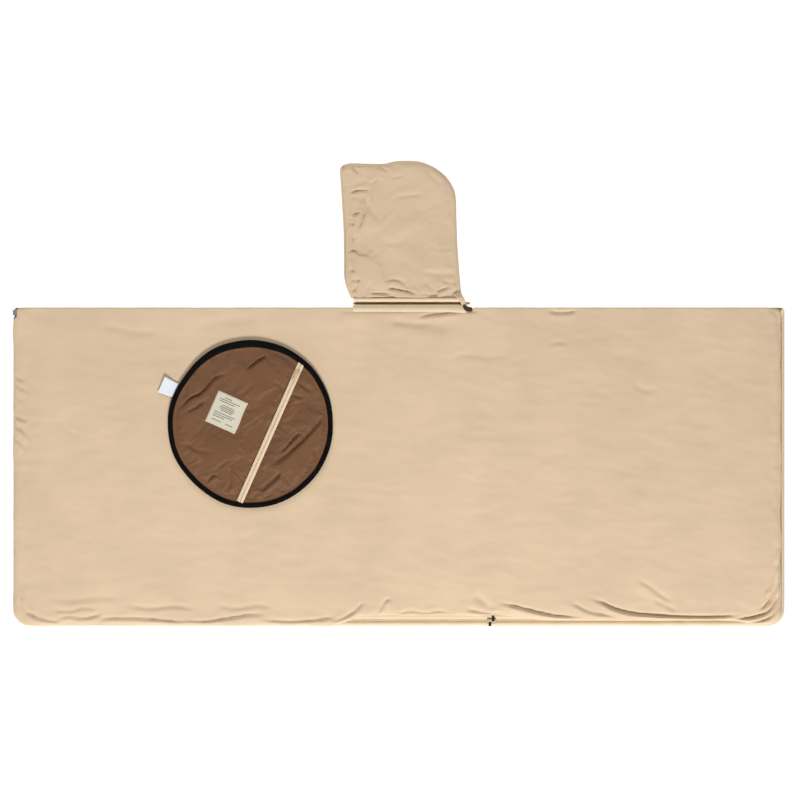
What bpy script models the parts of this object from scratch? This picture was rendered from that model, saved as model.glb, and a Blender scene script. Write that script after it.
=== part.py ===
"""Hooded infrared sauna blanket, lying flat, with its round zipped storage pouch on top of it.

Metres, +Z up. X runs along the long side, +Y points from the open zipped edge to the folded edge that
carries the hood, and the origin is the centre of the blanket's underside. Two padded panels, the back one
on the floor and the front one above it, mirror each other about MID_Z and join at the fold.
"""
import math

import bmesh
import bpy
from mathutils import Vector

MM = 0.001

# Driving dimensions of the blanket
HALF_X = 900 * MM
HALF_Y = 371 * MM
MID_Z = 16 * MM
CORNER_R = 40 * MM
GAP = 0.3 * MM
FABRIC = 1.2 * MM
LINING = 0.8 * MM
ARC_STEPS = 8

# Distances inwards from the outline of the body
BACK_INSET = 2 * MM
FRONT_INSET = 26 * MM
ZIP_END_Y = 340 * MM

# Heights in the back panel. The front panel has the same ones, mirrored about MID_Z.
SHELL_RIM_Z = 14.5 * MM
PADDING_Z = (1.5 * MM, 8.9 * MM)
HEATER_Z = (9.2 * MM, 10.0 * MM)
WIRING_Z = (10.3 * MM, 11.9 * MM)
LINING_Z = (12.2 * MM, 13.0 * MM)

# Neck and hood
NECK_X = (-107 * MM, 156 * MM)
HOOD_Y = 395 * MM
HOOD_TOP_Y = 715 * MM
HOOD_Z = (8 * MM, 24 * MM)
HOOD_CROWN_R = 88 * MM

# Round storage pouch, in its own frame
POUCH_CENTRE = (-345.4 * MM, 101.2 * MM)
POUCH_TURN = math.radians(-24)
POUCH_R = 194 * MM
POUCH_BINDING = 14 * MM
POUCH_STEPS = 64
POUCH_ZIP_X = 51 * MM

SLIDER_LENGTH = 9.8 * MM


# ---------------------------------------------------------------- materials

def material(name, colour, roughness, metallic=0.0):
    made = bpy.data.materials.new(name)
    made.use_nodes = True
    shader = made.node_tree.nodes["Principled BSDF"]
    shader.inputs["Base Color"].default_value = (*colour, 1.0)
    shader.inputs["Roughness"].default_value = roughness
    shader.inputs["Metallic"].default_value = metallic
    return made


def make_materials():
    return {
        "beige": material("beige_cloth", (0.68, 0.52, 0.35), 0.85),
        "brown": material("brown_nylon", (0.19, 0.095, 0.05), 0.55),
        "cream": material("cream_tape", (0.86, 0.72, 0.52), 0.8),
        "black": material("black_binding", (0.01, 0.009, 0.008), 0.7),
        "white": material("white_satin", (0.84, 0.88, 0.94), 0.5),
        "padding": material("white_padding", (0.8, 0.8, 0.78), 0.95),
        "heater": material("carbon_heater", (0.03, 0.03, 0.035), 0.6),
        "wire": material("wire_insulation", (0.05, 0.05, 0.05), 0.5),
        "plastic": material("grey_plastic", (0.35, 0.37, 0.4), 0.45),
        "enamel": material("cream_enamel_metal", (0.75, 0.62, 0.44), 0.35),
        "rubber": material("black_pull", (0.012, 0.012, 0.012), 0.6),
    }


# ---------------------------------------------------------------- outlines, as lists of (x, y)

def arc(centre, radius, start_deg, end_deg, steps=ARC_STEPS):
    """Points on a circle from one angle to the other, both ends included."""
    found = []
    for i in range(steps + 1):
        a = math.radians(start_deg + (end_deg - start_deg) * i / steps)
        found.append((centre[0] + radius * math.cos(a), centre[1] + radius * math.sin(a)))
    return found


def panel_outline(inset, top_radius=4 * MM):
    """A panel's outline, anticlockwise. The zipped corners at -Y are rounder than those at the fold."""
    x, low, r = HALF_X - inset, -(HALF_Y - inset), CORNER_R - inset
    return (
        arc((-x + r, low + r), r, 180, 270)
        + arc((x - r, low + r), r, 270, 360)
        + arc((x - top_radius, HALF_Y - top_radius), top_radius, 0, 90, 3)
        + arc((-x + top_radius, HALF_Y - top_radius), top_radius, 90, 180, 3)
    )


def zip_path(inset):
    """Down one short side, along the -Y side and up the other, inset from the body's outline."""
    x, low, r = HALF_X - inset, -(HALF_Y - inset), CORNER_R - inset
    return (
        [(-x, ZIP_END_Y)]
        + arc((-x + r, low + r), r, 180, 270)
        + arc((x - r, low + r), r, 270, 360)
        + [(x, ZIP_END_Y)]
    )


def inset_outline(points, distance):
    """The outline moved inwards by a distance. The points run anticlockwise."""
    found = []
    for i, here in enumerate(points):
        before, after = Vector(points[i - 1]), Vector(points[(i + 1) % len(points)])
        here = Vector(here)
        in_a = (here - before).normalized().orthogonal()
        in_b = (after - here).normalized().orthogonal()
        mitre = in_a + in_b
        found.append(tuple(here + mitre * (2 * distance / mitre.length_squared)))
    return found


def hood_outline():
    """The hood lying on its side: face edge at -X, crown corner at the top right, neck edge along HOOD_Y."""
    right_top_x = 138 * MM
    crown = arc((right_top_x - HOOD_CROWN_R, HOOD_TOP_Y - HOOD_CROWN_R), HOOD_CROWN_R, 3, 90, 10)
    return (
        [(-105 * MM, HOOD_Y), (149 * MM, HOOD_Y)]
        + crown
        + [(0.0, HOOD_TOP_Y), (-126 * MM, 703 * MM), (-133 * MM, 696 * MM), (-126 * MM, 430 * MM)]
    )


def disc_part(radius, low_x, high_x, steps=POUCH_STEPS):
    """The part of a disc between two values of x, anticlockwise."""
    def angle(x):
        return math.degrees(math.acos(max(-1.0, min(1.0, x / radius))))

    right, left = angle(high_x), angle(low_x)
    if left >= 180.0:
        return arc((0, 0), radius, right, 360 - right, steps)
    if right <= 0.0:
        return arc((0, 0), radius, -left, left, steps)
    return arc((0, 0), radius, right, left, steps) + arc((0, 0), radius, -left, -right, steps)


# ---------------------------------------------------------------- solids

def add_object(name, mesh, look, parent=None):
    made = bpy.data.objects.new(name, mesh)
    mesh.materials.append(look)
    bpy.context.scene.collection.objects.link(made)
    made.parent = parent
    return made


def finish_mesh(name, shape, smooth=False):
    bmesh.ops.recalc_face_normals(shape, faces=shape.faces)
    mesh = bpy.data.meshes.new(name)
    shape.to_mesh(mesh)
    shape.free()
    if smooth:
        mesh.shade_smooth()
        mesh.set_sharp_from_angle(angle=math.radians(40))
    return mesh


def skin(name, loops, look, parent=None, ring=False):
    """A solid over loops of points, each with the same count: capped at both ends, or joined end to end."""
    shape = bmesh.new()
    rows = [[shape.verts.new(point) for point in loop] for loop in loops]
    for i in range(0 if ring else 1, len(rows)):
        first, second = rows[i - 1], rows[i]
        for k in range(len(first)):
            shape.faces.new((first[k - 1], first[k], second[k], second[k - 1]))
    if not ring:
        shape.faces.new(rows[0])
        shape.faces.new(rows[-1])
    return add_object(name, finish_mesh(name, shape), look, parent)


def slab(name, outline, low_z, high_z, look, parent=None):
    """A flat piece: the outline extruded from low_z to high_z."""
    return skin(name, [[(x, y, z) for x, y in outline] for z in (low_z, high_z)], look, parent)


def bar_along_x(name, section, low_x, high_x, look, parent=None):
    """A (y, z) section extruded along X."""
    return skin(name, [[(x, y, z) for y, z in section] for x in (low_x, high_x)], look, parent)


def bar_along_y(name, section, low_y, high_y, look, parent=None):
    """An (x, z) section extruded along Y."""
    return skin(name, [[(x, y, z) for x, z in section] for y in (low_y, high_y)], look, parent)


def block(name, low, high, look, parent=None, bevel=0.0):
    """A box between two corners, with its edges rounded where bevel isn't 0."""
    outline = [(low[0], low[1]), (high[0], low[1]), (high[0], high[1]), (low[0], high[1])]
    made = slab(name, outline, low[2], high[2], look, parent)
    if bevel:
        rounding = made.modifiers.new("rounding", "BEVEL")
        rounding.width = bevel
        rounding.segments = 2
    return made


def cut_away(target, cutter):
    """Subtract the cutter from the target, and keep the cutter out of the finished part."""
    cutter.hide_render = True
    cutter.display_type = "WIRE"
    cut = target.modifiers.new(cutter.name, "BOOLEAN")
    cut.operation = "DIFFERENCE"
    cut.solver = "EXACT"
    cut.object = cutter


def tray(name, outline, floor_z, rim_z, look):
    """A panel's outer cloth: a flat floor at floor_z and a wall turned up or down to rim_z."""
    inner = inset_outline(outline, FABRIC)
    inner_floor_z = floor_z + math.copysign(FABRIC, rim_z - floor_z)
    levels = ((outline, floor_z), (outline, rim_z), (inner, rim_z), (inner, inner_floor_z))
    return skin(name, [[(x, y, z) for x, y in points] for points, z in levels], look)


def strip(name, outer, inner, low_z, high_z, look):
    """A flat strip between two open paths that run the same way."""
    return slab(name, outer + inner[::-1], low_z, high_z, look)


def lathe_ring(name, profile, look, parent=None):
    """A closed (radius, z) profile spun once round Z."""
    shape = bmesh.new()
    verts = [shape.verts.new((r, 0, z)) for r, z in profile]
    edges = [shape.edges.new((verts[i - 1], verts[i])) for i in range(len(verts))]
    bmesh.ops.spin(
        shape, geom=verts + edges, cent=(0, 0, 0), axis=(0, 0, 1), angle=math.tau,
        steps=POUCH_STEPS, use_merge=True, use_duplicate=False,
    )
    bmesh.ops.remove_doubles(shape, verts=shape.verts, dist=1e-6)
    return add_object(name, finish_mesh(name, shape, smooth=True), look, parent)


def lead(name, route, radius, look):
    """A round wire along a smooth curve through the route's points."""
    points = [Vector(p) for p in route]
    smooth = []
    for i in range(len(points) - 1):
        p0, p1 = points[max(i - 1, 0)], points[i]
        p2, p3 = points[i + 1], points[min(i + 2, len(points) - 1)]
        for k in range(4):
            t = k / 4
            smooth.append(0.5 * (
                2 * p1 + (p2 - p0) * t + (2 * p0 - 5 * p1 + 4 * p2 - p3) * t ** 2
                + (3 * p1 - p0 - 3 * p2 + p3) * t ** 3
            ))
    smooth.append(points[-1])
    curve = bpy.data.curves.new(name, "CURVE")
    curve.dimensions = "3D"
    spline = curve.splines.new("POLY")
    spline.points.add(len(smooth) - 1)
    for point, place in zip(spline.points, smooth):
        point.co = (*place, 1.0)
    curve.bevel_depth = radius
    curve.bevel_resolution = 2
    curve.use_fill_caps = True
    made = bpy.data.objects.new(name, curve)
    curve.materials.append(look)
    bpy.context.scene.collection.objects.link(made)
    return made


def flipped(heights):
    """Heights of the back panel, mirrored about MID_Z for the front panel."""
    return 2 * MID_Z - heights[1], 2 * MID_Z - heights[0]


# ---------------------------------------------------------------- the two padded panels

def make_panel(side, inset, floor_z, rim_z, at, looks):
    """One panel's cloth, padding, two heater mats, junction, sensor and lining."""
    outline = panel_outline(inset)
    inner = inset_outline(outline, FABRIC + GAP)
    shell = tray(side + "_shell", outline, floor_z, rim_z, looks["beige"])
    cut_away(shell, block(
        side + "_neck_cut", (NECK_X[0] + 2 * MM, HALF_Y - 3 * MM, LINING_Z[1]),
        (NECK_X[1] - 2 * MM, HALF_Y + 1 * MM, flipped(LINING_Z)[0]), looks["beige"],
    ))
    slab(side + "_insulation", inner, *at(PADDING_Z), looks["padding"])

    heater_x, heater_y = (30 * MM, 835 * MM), (-318 * MM, 310 * MM)
    for word, sign in (("left", -1), ("right", 1)):
        low_x, high_x = sorted((sign * heater_x[0], sign * heater_x[1]))
        low_z, high_z = at(HEATER_Z)
        block(f"{side}_heater_{word}", (low_x, heater_y[0], low_z), (high_x, heater_y[1], high_z), looks["heater"])

    low_z, high_z = at(WIRING_Z)
    block(side + "_junction", (-50 * MM, 288 * MM, low_z), (50 * MM, 308 * MM, high_z), looks["plastic"])
    block(side + "_sensor", (-10 * MM, -30 * MM, low_z), (10 * MM, -16 * MM, high_z), looks["plastic"])

    # The lining leaves the fold's left corner free, where the supply lead goes down into the back panel.
    corner_cut = 28 * MM
    lining = [(x, y) for x, y in inner if not (x < -HALF_X + inset + corner_cut and y > HALF_Y - corner_cut)]
    left = min(x for x, _ in inner)
    top = max(y for _, y in inner)
    lining += [(left + corner_cut, top), (left, top - corner_cut)]
    slab(side + "_lining", lining, *at(LINING_Z), looks["brown"])


def make_leads(looks):
    """Supply leads: from the inlet to the back junction, and from the fold to the front junction."""
    radius = 0.8 * MM
    z = sum(WIRING_Z) / 2
    lead("back_lead", [
        (-886 * MM, 360 * MM, 14.4 * MM), (-885.5 * MM, 360 * MM, 12.8 * MM), (-881 * MM, 359.5 * MM, 11.3 * MM),
        (-872 * MM, 357 * MM, z), (-845 * MM, 349 * MM, z), (-800 * MM, 342 * MM, z), (-620 * MM, 338 * MM, z),
        (-420 * MM, 340 * MM, z), (-220 * MM, 337 * MM, z), (-80 * MM, 336 * MM, z), (-35 * MM, 329 * MM, z),
        (-20 * MM, 318 * MM, z), (-18 * MM, 308.4 * MM, z),
    ], radius, looks["wire"])
    z = 2 * MID_Z - z
    lead("front_lead", [
        (-150 * MM, 368 * MM, z), (-149 * MM, 358 * MM, z), (-138 * MM, 344 * MM, z), (-100 * MM, 338 * MM, z),
        (-50 * MM, 334 * MM, z), (-24 * MM, 324 * MM, z), (-18 * MM, 308.4 * MM, z),
    ], radius, looks["wire"])


def make_fold(looks):
    """The cloth wall along the fold, on both sides of the neck."""
    low_y, high_y = HALF_Y + GAP, HALF_Y + GAP + 2 * MM
    low_z, high_z = GAP, 2 * MID_Z - 0.2 * MM
    end = 898 * MM
    block("fold_gusset_left", (-end, low_y, low_z), (NECK_X[0] - 0.5 * MM, high_y, high_z), looks["beige"])
    block("fold_gusset_right", (NECK_X[1] + 0.5 * MM, low_y, low_z), (end, high_y, high_z), looks["beige"])


def make_inlet(looks):
    """The socket for the controller's plug, at the fold's left corner, with its mouth at -X."""
    low, high = (-900 * MM, 355 * MM, 14.8 * MM), (-880 * MM, 367 * MM, 23.6 * MM)
    inlet = block("power_inlet", low, high, looks["plastic"], bevel=0.8 * MM)
    wall_y, wall_z, depth = 2.4 * MM, 2.0 * MM, 9 * MM
    recess = block(
        "inlet_recess", (low[0] - 1 * MM, low[1] + wall_y, low[2] + wall_z),
        (low[0] + depth, high[1] - wall_y, high[2] - wall_z), looks["plastic"],
    )
    cut_away(inlet, recess)


# ---------------------------------------------------------------- the zip round three sides

# Insets of the zip's pieces from the body's outline, and their heights
BACK_TAPE = (0.0, 9.7 * MM)
BACK_COIL = (7.1 * MM, 9.7 * MM)
FRONT_COIL = (12.1 * MM, 14.7 * MM)
FRONT_TAPE = (12.1 * MM, 36 * MM)
BACK_TAPE_Z = (14.8 * MM, 15.6 * MM)
BACK_COIL_Z = (15.9 * MM, 17.9 * MM)
FRONT_TAPE_Z = (16.4 * MM, 17.2 * MM)
FRONT_COIL_Z = (17.5 * MM, 19.5 * MM)


def make_body_zip(looks):
    for name, insets, heights, look in (
        ("zip_tape_back", BACK_TAPE, BACK_TAPE_Z, "cream"),
        ("zip_coil_back", BACK_COIL, BACK_COIL_Z, "cream"),
        ("zip_tape_front", FRONT_TAPE, FRONT_TAPE_Z, "cream"),
        ("zip_coil_front", FRONT_COIL, FRONT_COIL_Z, "cream"),
    ):
        strip(name, zip_path(insets[0]), zip_path(insets[1]), *heights, looks[look])

    length = 6 * MM
    for half, insets, low_z in (("back", BACK_COIL, BACK_TAPE_Z[1]), ("front", FRONT_COIL, FRONT_TAPE_Z[1])):
        for word, sign in (("left", -1), ("right", 1)):
            low_x, high_x = sorted(sign * (HALF_X - inset) for inset in insets)
            block(
                f"zip_stop_{half}_{word}", (low_x, ZIP_END_Y + GAP, low_z + GAP),
                (high_x, ZIP_END_Y + length, low_z + 2.8 * MM), looks["enamel"], bevel=0.4 * MM,
            )


def make_body_slider(word, low_x, looks):
    """One slider of the two-way zip. It rides on the front coil: its lower plate stops short of the back coil,
    so that the front panel can lift away with it."""
    top_z = FRONT_COIL_Z[1] + GAP
    plate = 1.0 * MM
    post_inner, post_outer = -(HALF_Y - 11.8 * MM), -(HALF_Y - 10.0 * MM)
    inner_y, outer_y = -(HALF_Y - 16.4 * MM), -(HALF_Y - 5.4 * MM)
    flange = 1.2 * MM
    low_z = FRONT_TAPE_Z[0] - GAP - plate
    section = [
        (inner_y, top_z + plate), (inner_y, FRONT_TAPE_Z[1] + GAP), (inner_y - flange, FRONT_TAPE_Z[1] + GAP),
        (inner_y - flange, top_z), (post_inner, top_z), (post_inner, low_z + plate), (inner_y, low_z + plate),
        (inner_y, low_z), (post_outer, low_z), (post_outer, top_z), (outer_y + flange, top_z),
        (outer_y + flange, BACK_TAPE_Z[1] + GAP), (outer_y, BACK_TAPE_Z[1] + GAP), (outer_y, top_z + plate),
    ]
    bar_along_x("zip_slider_" + word, section, low_x, low_x + SLIDER_LENGTH, looks["enamel"])


def make_body_pull(word, mid_x, toward_y, looks):
    """A short moulded pull, lying across the zip from its slider's bridge."""
    width, thickness = 6.4 * MM, 1.6 * MM
    base_z = FRONT_COIL_Z[1] + GAP + 1.0 * MM + GAP
    y = sorted((pull_hinge_y(toward_y), toward_y))
    block(
        "zip_pull_" + word, (mid_x - width / 2, y[0], base_z), (mid_x + width / 2, y[1], base_z + thickness),
        looks["rubber"], bevel=0.6 * MM,
    )


def pull_hinge_y(toward_y):
    """Where a pull's bail sits on its slider: just on the pull's own side of the coils."""
    middle = -(HALF_Y - 10.9 * MM)
    return middle + math.copysign(1.2 * MM, toward_y - middle)


def make_body_sliders(looks):
    left_x, right_x = 205.8 * MM, 216.0 * MM
    make_body_slider("left", left_x, looks)
    make_body_slider("right", right_x, looks)
    make_body_pull("left", left_x + SLIDER_LENGTH - 3.6 * MM, -370.5 * MM, looks)
    make_body_pull("right", right_x + 3.6 * MM, -347.0 * MM, looks)


# ---------------------------------------------------------------- neck

COLLAR_Y = (HALF_Y + GAP, 379.0 * MM)
COLLAR_COIL_Y = (379.3 * MM, 381.3 * MM)
HOOD_COIL_Y = (383.5 * MM, 385.5 * MM)
HEM_Y = (385.8 * MM, 394.7 * MM)
NECK_GAP_Z = (13.0 * MM, 19.0 * MM)
COIL_RING_Z = (9.5 * MM, 22.5 * MM)


def neck_ring(name, along_y, look):
    """One half of the neck zip: a flat loop of coil round the neck opening."""
    wall = 2.2 * MM
    (low_x, high_x), (low_z, high_z) = NECK_X, COIL_RING_Z

    def loop(margin, y):
        return [
            (low_x + margin, y, low_z + margin), (high_x - margin, y, low_z + margin),
            (high_x - margin, y, high_z - margin), (low_x + margin, y, high_z - margin),
        ]

    low_y, high_y = along_y
    skin(name, [loop(0, low_y), loop(0, high_y), loop(wall, high_y), loop(wall, low_y)], look, ring=True)


def make_neck(looks):
    for word, low_z, high_z in (
        ("lower", HOOD_Z[0], NECK_GAP_Z[0]), ("upper", NECK_GAP_Z[1], HOOD_Z[1]),
    ):
        block(
            "neck_collar_" + word, (NECK_X[0], COLLAR_Y[0], low_z), (NECK_X[1], COLLAR_Y[1], high_z),
            looks["cream"],
        )
        block(
            "hood_hem_" + word, (NECK_X[0] + 2 * MM, HEM_Y[0], low_z), (NECK_X[1] - 4 * MM, HEM_Y[1], high_z),
            looks["cream"],
        )
    neck_ring("neck_zip_collar_half", COLLAR_COIL_Y, looks["cream"])
    neck_ring("neck_zip_hood_half", HOOD_COIL_Y, looks["cream"])
    make_neck_slider(looks)


def make_neck_slider(looks):
    """The slider that zips the hood off. Its lower plate holds the collar's coil only, so the hood's half can leave."""
    low_x, high_x = 141 * MM, 150.8 * MM
    top_z, plate = COIL_RING_Z[1] + GAP, 1.0 * MM
    under_z = COIL_RING_Z[1] - 2.2 * MM - GAP
    post = (COLLAR_COIL_Y[1] + GAP, HOOD_COIL_Y[0] - GAP)
    section = [
        (COLLAR_COIL_Y[0], top_z), (post[0], top_z), (post[0], under_z), (COLLAR_COIL_Y[0] + GAP, under_z),
        (COLLAR_COIL_Y[0] + GAP, under_z - plate), (post[1], under_z - plate), (post[1], top_z),
        (HOOD_COIL_Y[1], top_z), (HOOD_COIL_Y[1], top_z + plate), (COLLAR_COIL_Y[0], top_z + plate),
    ]
    bar_along_x("neck_zip_slider", section, low_x, high_x, looks["enamel"])
    pull_z = top_z + plate + GAP
    block(
        "neck_zip_pull", (low_x + 4 * MM, COLLAR_COIL_Y[0] + 0.4 * MM, pull_z),
        (low_x + 24 * MM, HOOD_COIL_Y[1] - 0.4 * MM, pull_z + 1.4 * MM), looks["enamel"], bevel=0.5 * MM,
    )


# ---------------------------------------------------------------- hood

def make_hood(looks):
    outline = hood_outline()
    seam = 1.5 * MM
    inside = inset_outline(outline, seam + GAP)
    # Padding and lining stop short of the channel that holds the face elastic.
    channel_x = -108 * MM
    middle = [(max(x, channel_x), y) for x, y in inside]
    middle = [p for i, p in enumerate(middle) if i == 0 or (Vector(p) - Vector(middle[i - 1])).length > 1e-5]
    cloth, thin = 1.0 * MM, LINING
    for word, at in (("lower", lambda z: z), ("upper", flipped)):
        slab("hood_panel_" + word, outline, *at((HOOD_Z[0], HOOD_Z[0] + cloth)), looks["beige"])
        slab("hood_padding_" + word, middle, *at((9.3 * MM, 11.9 * MM)), looks["padding"])
        slab("hood_lining_" + word, middle, *at((12.2 * MM, 12.2 * MM + thin)), looks["brown"])
        facing = [(-124 * MM, 432 * MM), (channel_x - GAP, 432 * MM), (channel_x - GAP, 690 * MM), (-130.5 * MM, 690 * MM)]
        slab("hood_facing_" + word, facing, *at((10.6 * MM, 11.4 * MM)), looks["beige"])

    # The seam that closes the back of the hood and its crown. Its face edge and neck edge stay open.
    shrunk = inset_outline(outline, seam)
    low_z, high_z = HOOD_Z[0] + cloth + GAP, HOOD_Z[1] - cloth - GAP
    strip("hood_seam", outline[1:-2], shrunk[1:-2], low_z, high_z, looks["beige"])
    make_elastic(looks)


def make_elastic(looks):
    """The elastic round the face opening, doubled over at the crown."""
    low_x, high_x = -119.5 * MM, -113.5 * MM
    thickness, start_y, end_y = 1.0 * MM, 433 * MM, 694 * MM
    low_z, high_z = 9.3 * MM, 22.7 * MM
    section = [
        (start_y, low_z), (end_y, low_z), (end_y, high_z), (start_y, high_z), (start_y, high_z - thickness),
        (end_y - thickness, high_z - thickness), (end_y - thickness, low_z + thickness),
        (start_y, low_z + thickness),
    ]
    bar_along_x("hood_elastic", section, low_x, high_x, looks["white"])


# ---------------------------------------------------------------- storage pouch

def make_pouch(looks):
    frame = bpy.data.objects.new("pouch_frame", None)
    frame.location = (*POUCH_CENTRE, 2 * MID_Z + GAP)
    frame.rotation_euler = (0, 0, POUCH_TURN)
    bpy.context.scene.collection.objects.link(frame)

    inner_r = POUCH_R - 4 * MM
    flange = 0.7 * MM
    panel_z = (5.6 * MM, 6.6 * MM)
    slab("pouch_back_panel", arc((0, 0), inner_r, 0, 360, POUCH_STEPS)[:-1], 1.0 * MM, 2.0 * MM,
         looks["brown"], frame)

    tape_out, tape_in = 7.5 * MM, 1.2 * MM
    slab("pouch_front_panel", disc_part(inner_r, -inner_r, POUCH_ZIP_X - tape_out - GAP), *panel_z, looks["brown"], frame)
    slab("pouch_side_panel", disc_part(inner_r, POUCH_ZIP_X + tape_out + GAP, inner_r), *panel_z, looks["brown"], frame)

    binding_in = POUCH_R - POUCH_BINDING
    top = panel_z[1] + GAP
    lathe_ring("pouch_binding", [
        (binding_in, 0), (POUCH_R, 0), (POUCH_R, top + flange), (binding_in, top + flange),
        (binding_in, top), (inner_r + GAP, top), (inner_r + GAP, flange), (binding_in, flange),
    ], looks["black"], frame)

    make_pouch_zip(looks, frame, tape_out, tape_in, panel_z)

    half = 37.5 * MM
    label_mid = (-61 * MM, 3 * MM)
    block("pouch_label", (label_mid[0] - half, label_mid[1] - half, panel_z[1] + GAP),
          (label_mid[0] + half, label_mid[1] + half, panel_z[1] + GAP + 0.5 * MM), looks["cream"], frame)
    tag_half = 17 * MM
    block("pouch_care_tag", (-POUCH_R - 31 * MM, -tag_half, 1.0 * MM),
          (-POUCH_R - GAP, tag_half, 1.6 * MM), looks["white"], frame)


def make_pouch_zip(looks, frame, tape_out, tape_in, panel_z):
    """The pouch's zip: two tapes with their coils, and a slider that wraps both."""
    end_y, coil = 169.5 * MM, 2.6 * MM
    tape_top, coil_top = panel_z[0] + 0.8 * MM, panel_z[0] + 2.8 * MM
    for word, sign in (("left", -1), ("right", 1)):
        section = [
            (tape_out, panel_z[0]), (tape_in, panel_z[0]), (tape_in, coil_top),
            (tape_in + coil, coil_top), (tape_in + coil, tape_top), (tape_out, tape_top),
        ]
        name = "pouch_zip_half_" + word
        bar_along_y(name, [(POUCH_ZIP_X + sign * x, z) for x, z in section], -end_y, end_y, looks["cream"], frame)

    start_y = 148 * MM
    top, plate = coil_top + GAP, 1.0 * MM
    under = panel_z[0] - GAP
    half, flange = 5.4 * MM, 1.2 * MM
    post = tape_in - GAP
    section = [
        (-half, top + plate), (-half, tape_top + GAP), (-half + flange, tape_top + GAP), (-half + flange, top),
        (-post, top), (-post, under), (-half, under), (-half, under - plate), (half, under - plate),
        (half, under), (post, under), (post, top), (half - flange, top), (half - flange, tape_top + GAP),
        (half, tape_top + GAP), (half, top + plate),
    ]
    bar_along_y("pouch_zip_slider", [(POUCH_ZIP_X + x, z) for x, z in section], start_y,
                start_y + SLIDER_LENGTH, looks["enamel"], frame)
    pull_z = top + plate + GAP
    block("pouch_zip_pull", (POUCH_ZIP_X - 3 * MM, start_y - 17 * MM, pull_z),
          (POUCH_ZIP_X + 3 * MM, start_y + 5 * MM, pull_z + 1.2 * MM), looks["enamel"], frame, bevel=0.4 * MM)


def main():
    for old in list(bpy.data.objects):
        bpy.data.objects.remove(old)
    looks = make_materials()
    make_panel("back", BACK_INSET, 0.0, SHELL_RIM_Z, lambda z: z, looks)
    make_panel("front", FRONT_INSET, 2 * MID_Z, 2 * MID_Z - SHELL_RIM_Z, flipped, looks)
    make_leads(looks)
    make_fold(looks)
    make_inlet(looks)
    make_body_zip(looks)
    make_body_sliders(looks)
    make_neck(looks)
    make_hood(looks)
    make_pouch(looks)


main()
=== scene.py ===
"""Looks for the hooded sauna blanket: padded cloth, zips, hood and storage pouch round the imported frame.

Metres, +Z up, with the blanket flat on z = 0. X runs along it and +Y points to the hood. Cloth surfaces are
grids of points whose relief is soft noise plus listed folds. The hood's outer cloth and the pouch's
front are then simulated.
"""

import math

import bpy
import numpy as np
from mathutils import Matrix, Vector


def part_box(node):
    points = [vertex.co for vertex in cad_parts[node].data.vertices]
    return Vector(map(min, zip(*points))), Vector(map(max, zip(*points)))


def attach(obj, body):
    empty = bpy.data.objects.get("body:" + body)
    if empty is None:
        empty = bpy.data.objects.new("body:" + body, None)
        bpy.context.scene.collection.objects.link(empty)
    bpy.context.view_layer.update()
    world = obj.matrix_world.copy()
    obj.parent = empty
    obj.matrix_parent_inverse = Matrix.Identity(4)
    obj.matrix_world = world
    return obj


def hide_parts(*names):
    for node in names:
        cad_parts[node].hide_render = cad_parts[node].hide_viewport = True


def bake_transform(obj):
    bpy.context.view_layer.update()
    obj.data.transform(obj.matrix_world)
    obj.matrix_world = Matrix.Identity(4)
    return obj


MM = 0.001
WHITE = (1.0, 1.0, 1.0, 1.0)
WARM_SHEEN = (1.0, 0.84, 0.66, 1.0)

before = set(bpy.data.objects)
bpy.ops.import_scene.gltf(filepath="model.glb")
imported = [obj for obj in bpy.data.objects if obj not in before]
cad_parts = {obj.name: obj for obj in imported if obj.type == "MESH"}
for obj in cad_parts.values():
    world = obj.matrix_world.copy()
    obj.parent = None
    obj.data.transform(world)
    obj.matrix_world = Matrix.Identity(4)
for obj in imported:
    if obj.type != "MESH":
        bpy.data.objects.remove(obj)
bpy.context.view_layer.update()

# Outlines and heights from the frame
BODY_LOW, BODY_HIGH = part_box("zip_tape_back")
SHELL_LOW, SHELL_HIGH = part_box("front_shell")
TAPE_LOW, TAPE_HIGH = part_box("zip_tape_front")
COLLAR_LOW, COLLAR_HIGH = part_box("neck_collar_upper")
BINDING_LOW, BINDING_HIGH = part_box("pouch_binding")
FOLD_Y = SHELL_HIGH.y
FLAT_Z = SHELL_HIGH.z
CORNER_R = 40 * MM
ZIP_END_Y = TAPE_HIGH.y
POUCH_MID = (BINDING_LOW + BINDING_HIGH) / 2
POUCH_TURN = math.radians(-24)
POUCH_R = (BINDING_HIGH.x - BINDING_LOW.x) / 2


# ---------------------------------------------------------------- materials

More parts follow.
